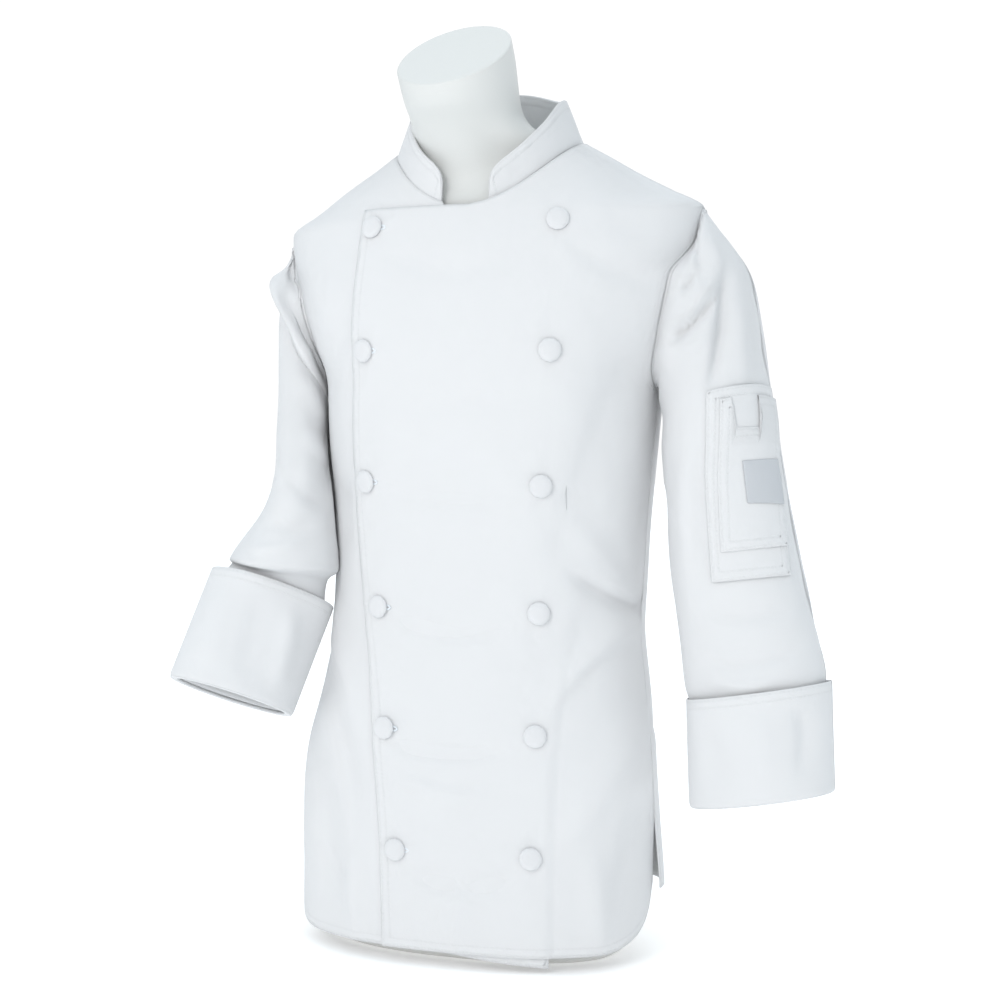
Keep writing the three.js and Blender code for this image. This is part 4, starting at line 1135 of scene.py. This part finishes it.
BUTTON_SETTINGS = [
    ("button_radius", "Radius", "Radius of a button", 9.8, 5.0, 14.0),
    ("button_height", "Height", "Height of a button", 5.6, 3.0, 9.0),
    ("hole_length", "Buttonhole Length", "Length of a buttonhole", 22.0),
    # The buttons' colour is a little darker than the jacket's twill: painted shade for the shadow round their
    # rims.
    ("button_color", "Button Colour", "Colour of the covered buttons", (0.725, 0.725, 0.735)),
]
STAGE_SETTINGS = [
    ("form_color", "Form Colour", "Colour of the dress form", (0.69, 0.695, 0.68)),
    ("floor_glow", "Floor Glow", "Light that the floor adds, so that it stays as pale as the wall", 0.3),
    ("key_power", "Key Power", "Power of the key light in watts", 7.0),
    ("surround", "Surround", "Brightness of the room at the sides", 0.42),
    ("ceiling", "Ceiling", "Brightness that the room gains towards its ceiling", 0.8),
    ("wall", "Wall", "Brightness of the wall behind the form", 1.05),
    ("front", "Front", "Brightness of the room before the form", 0.9),
]


def settings_group(name, rows):
    """A property group with one number or colour for each row."""
    fields = {}
    for key, label, about, default, *limits in rows:
        options = {"name": label, "description": about, "default": default}
        options.update({side: limit for side, limit in zip(("min", "max"), limits) if limit is not None})
        if isinstance(default, tuple):
            fields[key] = bpy.props.FloatVectorProperty(subtype="COLOR", **options)
        else:
            fields[key] = bpy.props.FloatProperty(**options)
    return type(name, (bpy.types.PropertyGroup,), {"__annotations__": fields})


# Steps that build the scene


def build_fronts(scene):
    """Builds the two front panels."""
    settings = scene.jacket
    cloth = cloth_material("JacketTwill", settings.cloth_color, settings)
    over = add_cloth(over_panel(settings), "OverFront", "front_left", cloth,
                     settings.cloth_thickness)
    under = add_cloth(under_panel(settings), "UnderFront", "front_right", cloth,
                      settings.cloth_thickness)


def build_back(scene):
    """Builds the back panel."""
    settings = scene.jacket
    cloth = bpy.data.materials["JacketTwill"]
    back = add_cloth(back_panel(settings), "BackPanel", "back", cloth,
                     settings.cloth_thickness)


def build_collar(scene):
    """Builds the stand collar."""
    settings = scene.jacket
    cloth = bpy.data.materials["JacketTwill"]
    collar = add_cloth(collar_band(settings), "StandCollar", "collar", cloth, 2.6)


def build_sleeves(scene):
    """Builds the two sleeves, their cuffs, and the pocket on the left one."""
    settings = scene.jacket
    cloth = bpy.data.materials["JacketTwill"]
    left, k, turn = sleeve_piece(SLEEVE_LEFT, 1, LEFT_SLEEVE_CREASES, LEFT_SLEEVE_HIDDEN, 2, settings)
    right, _, _ = sleeve_piece(SLEEVE_RIGHT, -1, RIGHT_SLEEVE_CREASES, RIGHT_SLEEVE_HIDDEN, 4, settings)
    sleeves = {}
    for name, node, piece in (
        ("LeftSleeve", "sleeve_left", left),
        ("RightSleeve", "sleeve_right", right),
    ):
        obj = add_cloth(piece, name, node, cloth, settings.cloth_thickness)
        sleeves[node] = obj
    for name, node, rings, side, height, traced, seed in (
        ("LeftCuff", "cuff_left", SLEEVE_LEFT, 1, CUFF["left"], LEFT_CUFF_CREASES, 1.3),
        ("RightCuff", "cuff_right", SLEEVE_RIGHT, -1, CUFF["right"], RIGHT_CUFF_CREASES, 4.1),
    ):
        points, values = cuff_shape(rings, side, height, traced, seed, settings)
        if side < 0:
            points = points[:, ::-1]
            values = {key: value[:, ::-1] for key, value in values.items()}
        obj = make_mesh(name, points, True, values, close_rows=True)
        place_in_row(obj, cloth, node)
        sleeve = sleeves["sleeve_left" if side > 0 else "sleeve_right"]
    label = cloth_material("LabelSatin", (0.56, 0.575, 0.6), settings, stitches=False, satin=1.0)
    for name, node, patch, steps, material, flat in (
        ("SleevePocket", "sleeve_pocket", POCKET, (110, 56), cloth, (0.085, 0.175)),
        ("PenPocket", "pen_pocket", PEN_POCKET, (100, 84), cloth, (0.068, 0.132)),
        ("BlankLabel", "blank_label", LABEL, (30, 24), label, (0.034, 0.038)),
    ):
        piece = patch_piece(left, k, turn, patch, steps, settings)
        slot_name = "label_cloth" if node == "blank_label" else "jacket_cloth"
        thickness = 0.6 if node == "blank_label" else 1.2
        obj = add_cloth(piece, name, node, material, thickness)


def build_buttons(scene):
    """Builds the twelve covered buttons and the buttonholes beside the free edge."""
    settings = scene.jacket_buttons
    # The buttons' twill is a little darker than the jacket's: painted shade round the buttons.
    cloth = cloth_material("ButtonTwill", settings.button_color, scene.jacket, stitches=False)
    thread = cloth_material("HoleThread", (0.8, 0.84, 0.88), scene.jacket, stitches=False)
    over = bpy.data.objects["OverFront"]
    count = len(over.data.vertices)
    shell = np.empty(count * 3)
    over.data.vertices.foreach_get("co", shell)
    shell = shell.reshape(-1, 3) / MM
    for row, (z, spread, middle) in enumerate(BUTTON_ROWS):
        for side in (-1, 1):
            number = 2 * row + (1 if side < 0 else 2)
            x = middle + side * spread
            low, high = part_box(f"button_{number}")
            centre = (np.array(low) + np.array(high)) / 2 / MM
            angle = front_angle(x - lean_at(z), z)
            across = body_point(angle + 0.01, z) - body_point(angle - 0.01, z)
            outwards = np.cross(across, body_point(angle, z + 1.0) - body_point(angle, z - 1.0))
            outwards /= np.linalg.norm(outwards)
            reach = (shell - centre) @ outwards
            beside = np.linalg.norm(shell - centre - reach[:, None] * outwards, axis=-1)
            foot = centre + outwards * (reach[beside < 5].mean() + 0.1)
            east = np.cross([0, 0, 1], outwards)
            east /= np.linalg.norm(east)
            up = np.cross(outwards, east)
            axes = np.stack([east, up, outwards])
            local = button_points(settings, number)
            values = {"cloth_u": local[..., 0], "cloth_v": local[..., 1]}
            obj = make_mesh(f"Button{number:02d}", local @ axes + foot, True, values, caps=True)
            place_in_row(obj, cloth, f"button_{number}")
            if side < 0:
                add_buttonhole(f"Buttonhole{row + 1}", foot, axes, settings.hole_length, thread)


def add_buttonhole(name, foot, axes, length, material):
    """A worked buttonhole: a rim of thread round a slit, mostly behind its button. A flat ring swept along a
    stadium, with the threads as waves across it."""
    half, width = length / 2, 1.7
    s = np.linspace(0, TURN, 160, endpoint=False)
    x = half * np.sign(np.cos(s)) * np.abs(np.cos(s)) ** 0.35 + 1.5
    y = width * np.sign(np.sin(s)) * np.abs(np.sin(s)) ** 0.8
    ring = np.linspace(0, TURN, 9)[:-1][:, None]
    beads = 0.12 * np.sin(s * 80)
    out_x = np.where(np.abs(np.cos(s)) > 0.97, np.sign(np.cos(s)), 0)
    out_y = np.where(out_x == 0, np.sign(np.sin(s)), 0)
    r = 0.9 + beads
    points = np.stack([x + out_x * r * np.cos(ring), y + out_y * r * np.cos(ring),
                       0.05 + 0.45 * np.sin(ring) + 0 * s], -1)
    values = {"cloth_u": points[..., 0], "cloth_v": points[..., 1]}
    obj = make_mesh(name, points @ axes + foot, True, values, close_rows=True)
    place_in_row(obj, material)


def build_form(scene):
    """Builds the dress form."""
    settings = scene.jacket_stage
    obj = make_mesh("DressForm", form_points(), True, {}, caps=True)
    place_in_row(obj, form_material(settings), "dress_form")


def add_floor(settings):
    """A round pale floor under the form, so light that it hardly shows against the wall."""
    angle = np.linspace(0, TURN, 96, endpoint=False)[None, :]
    r = np.array([[1.0], [400.0], [1200.0], [6000.0]])
    points = np.stack([r * np.cos(angle), r * np.sin(angle), np.zeros((4, 96))], -1)
    floor = make_mesh("Floor", points[::-1], True, {})
    material, start = new_material("PaleFloor")
    place = start.node("ShaderNodeTexCoord", {}, 3)
    mottle = start.node("ShaderNodeTexNoise", {"Vector": place, "Scale": 6.0, "Detail": 2.0})
    surface = start.node("ShaderNodeBsdfPrincipled", {
        "Base Color": (0.9, 0.9, 0.9, 1.0), "Roughness": mottle * 0.1 + 0.7,
        "Emission Color": (1.0, 1.0, 1.0, 1.0), "Emission Strength": settings.floor_glow,
    })
    start.node("ShaderNodeOutputMaterial", {"Surface": surface})
    floor.data.materials.append(material)


def build_stage(scene):
    """Adds the camera, the room's light and the key light."""
    settings = scene.jacket_stage
    look, _, _, eye = camera_axes()
    data = bpy.data.cameras.new("Camera")
    data.sensor_width = 36
    data.lens = 36 * CAMERA["focal"] / 1000
    data.clip_start = 0.05
    camera = bpy.data.objects.new("Camera", data)
    camera.location = Vector(eye * MM)
    camera.rotation_euler = Vector(look).to_track_quat("-Z", "Y").to_euler()
    scene.collection.objects.link(camera)
    scene.camera = camera
    world = bpy.data.worlds.new("Room")
    world.use_nodes = True
    world.node_tree.nodes.clear()
    start = Wire(world.node_tree, None)
    direction = start.node("ShaderNodeTexCoord", {}, 0)
    split = world.node_tree.nodes.new("ShaderNodeSeparateXYZ")
    world.node_tree.links.new(direction.socket, split.inputs[0])
    ahead = Wire(world.node_tree, split.outputs[1])
    behind = ahead.above(0.3, 0.8)
    before = (ahead * -1.0).above(0.3, 0.8)
    above = Wire(world.node_tree, split.outputs[2]).above(0.25, 0.9)
    strength = (behind * (settings.wall - settings.surround)
                + before * (settings.front - settings.surround)
                + above * settings.ceiling + settings.surround)
    depth = behind + before
    tones = {0: depth, 6: (0.82, 0.93, 1.0, 1.0), 7: (1.0, 1.0, 1.0, 1.0)}
    tone = start.node("ShaderNodeMix", tones, 2, data_type="RGBA")
    ground = start.node("ShaderNodeBackground", {"Color": tone, "Strength": strength})
    start.node("ShaderNodeOutputWorld", {"Surface": ground})
    scene.world = world
    add_floor(settings)
    scene.view_settings.view_transform = "Standard"
    light = bpy.data.lights.new("Key", "AREA")
    light.energy = settings.key_power
    light.size = KEY_LIGHT["size"]
    key = bpy.data.objects.new("Key", light)
    key.location = KEY_LIGHT["place"]
    aim = Vector(CAMERA["target"]) * MM - Vector(KEY_LIGHT["place"])
    key.rotation_euler = aim.to_track_quat("-Z", "Y").to_euler()
    scene.collection.objects.link(key)


class JACKET_PT_panel(bpy.types.Panel):
    """The builder's panel in the sidebar"""

    bl_idname = "JACKET_PT_panel"
    bl_label = "Chef Jacket"
    bl_space_type = "VIEW_3D"
    bl_region_type = "UI"
    bl_category = "Jacket"

    def draw(self, context):
        layout = self.layout
        for group, steps in (
            (context.scene.jacket, ("fronts", "back", "collar", "sleeves")),
            (context.scene.jacket_buttons, ("buttons",)),
            (context.scene.jacket_stage, ("form", "stage")),
        ):
            box = layout.box()
            for name in group.bl_rna.properties.keys():
                if name not in ("rna_type", "name"):
                    box.prop(group, name)
            for step in steps:
                box.operator(f"jacket.{step}")


STEPS = [
    ("fronts", "Build Fronts", build_fronts),
    ("back", "Build Back", build_back),
    ("collar", "Build Collar", build_collar),
    ("sleeves", "Build Sleeves", build_sleeves),
    ("buttons", "Build Buttons", build_buttons),
    ("form", "Build Dress Form", build_form),
    ("stage", "Build Stage", build_stage),
]
GROUPS = {
    "jacket": settings_group("JacketSettings", JACKET_SETTINGS),
    "jacket_buttons": settings_group("ButtonSettings", BUTTON_SETTINGS),
    "jacket_stage": settings_group("StageSettings", STAGE_SETTINGS),
}


def step_operator(name, label, build):
    """An operator that runs one building step on the scene."""
    def execute(self, context):
        build(context.scene)
        return {"FINISHED"}

    fields = {"__doc__": build.__doc__.rstrip("."), "bl_idname": f"jacket.{name}", "bl_label": label,
              "execute": execute}
    return type(f"JACKET_OT_{name}", (bpy.types.Operator,), fields)


CLASSES = [*(step_operator(*step) for step in STEPS), JACKET_PT_panel]


def register():
    for cls in [*GROUPS.values(), *CLASSES]:
        bpy.utils.register_class(cls)
    for name, cls in GROUPS.items():
        setattr(bpy.types.Scene, name, bpy.props.PointerProperty(type=cls))


def unregister():
    for name in GROUPS:
        delattr(bpy.types.Scene, name)
    for cls in reversed([*GROUPS.values(), *CLASSES]):
        bpy.utils.unregister_class(cls)


def corners(bounds):
    return [[float(value) for value in corner] for corner in bounds]


def main():
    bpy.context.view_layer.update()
    register()
    for name, _, _ in STEPS:
        getattr(bpy.ops.jacket, name)()


if __name__ == "__main__":
    main()
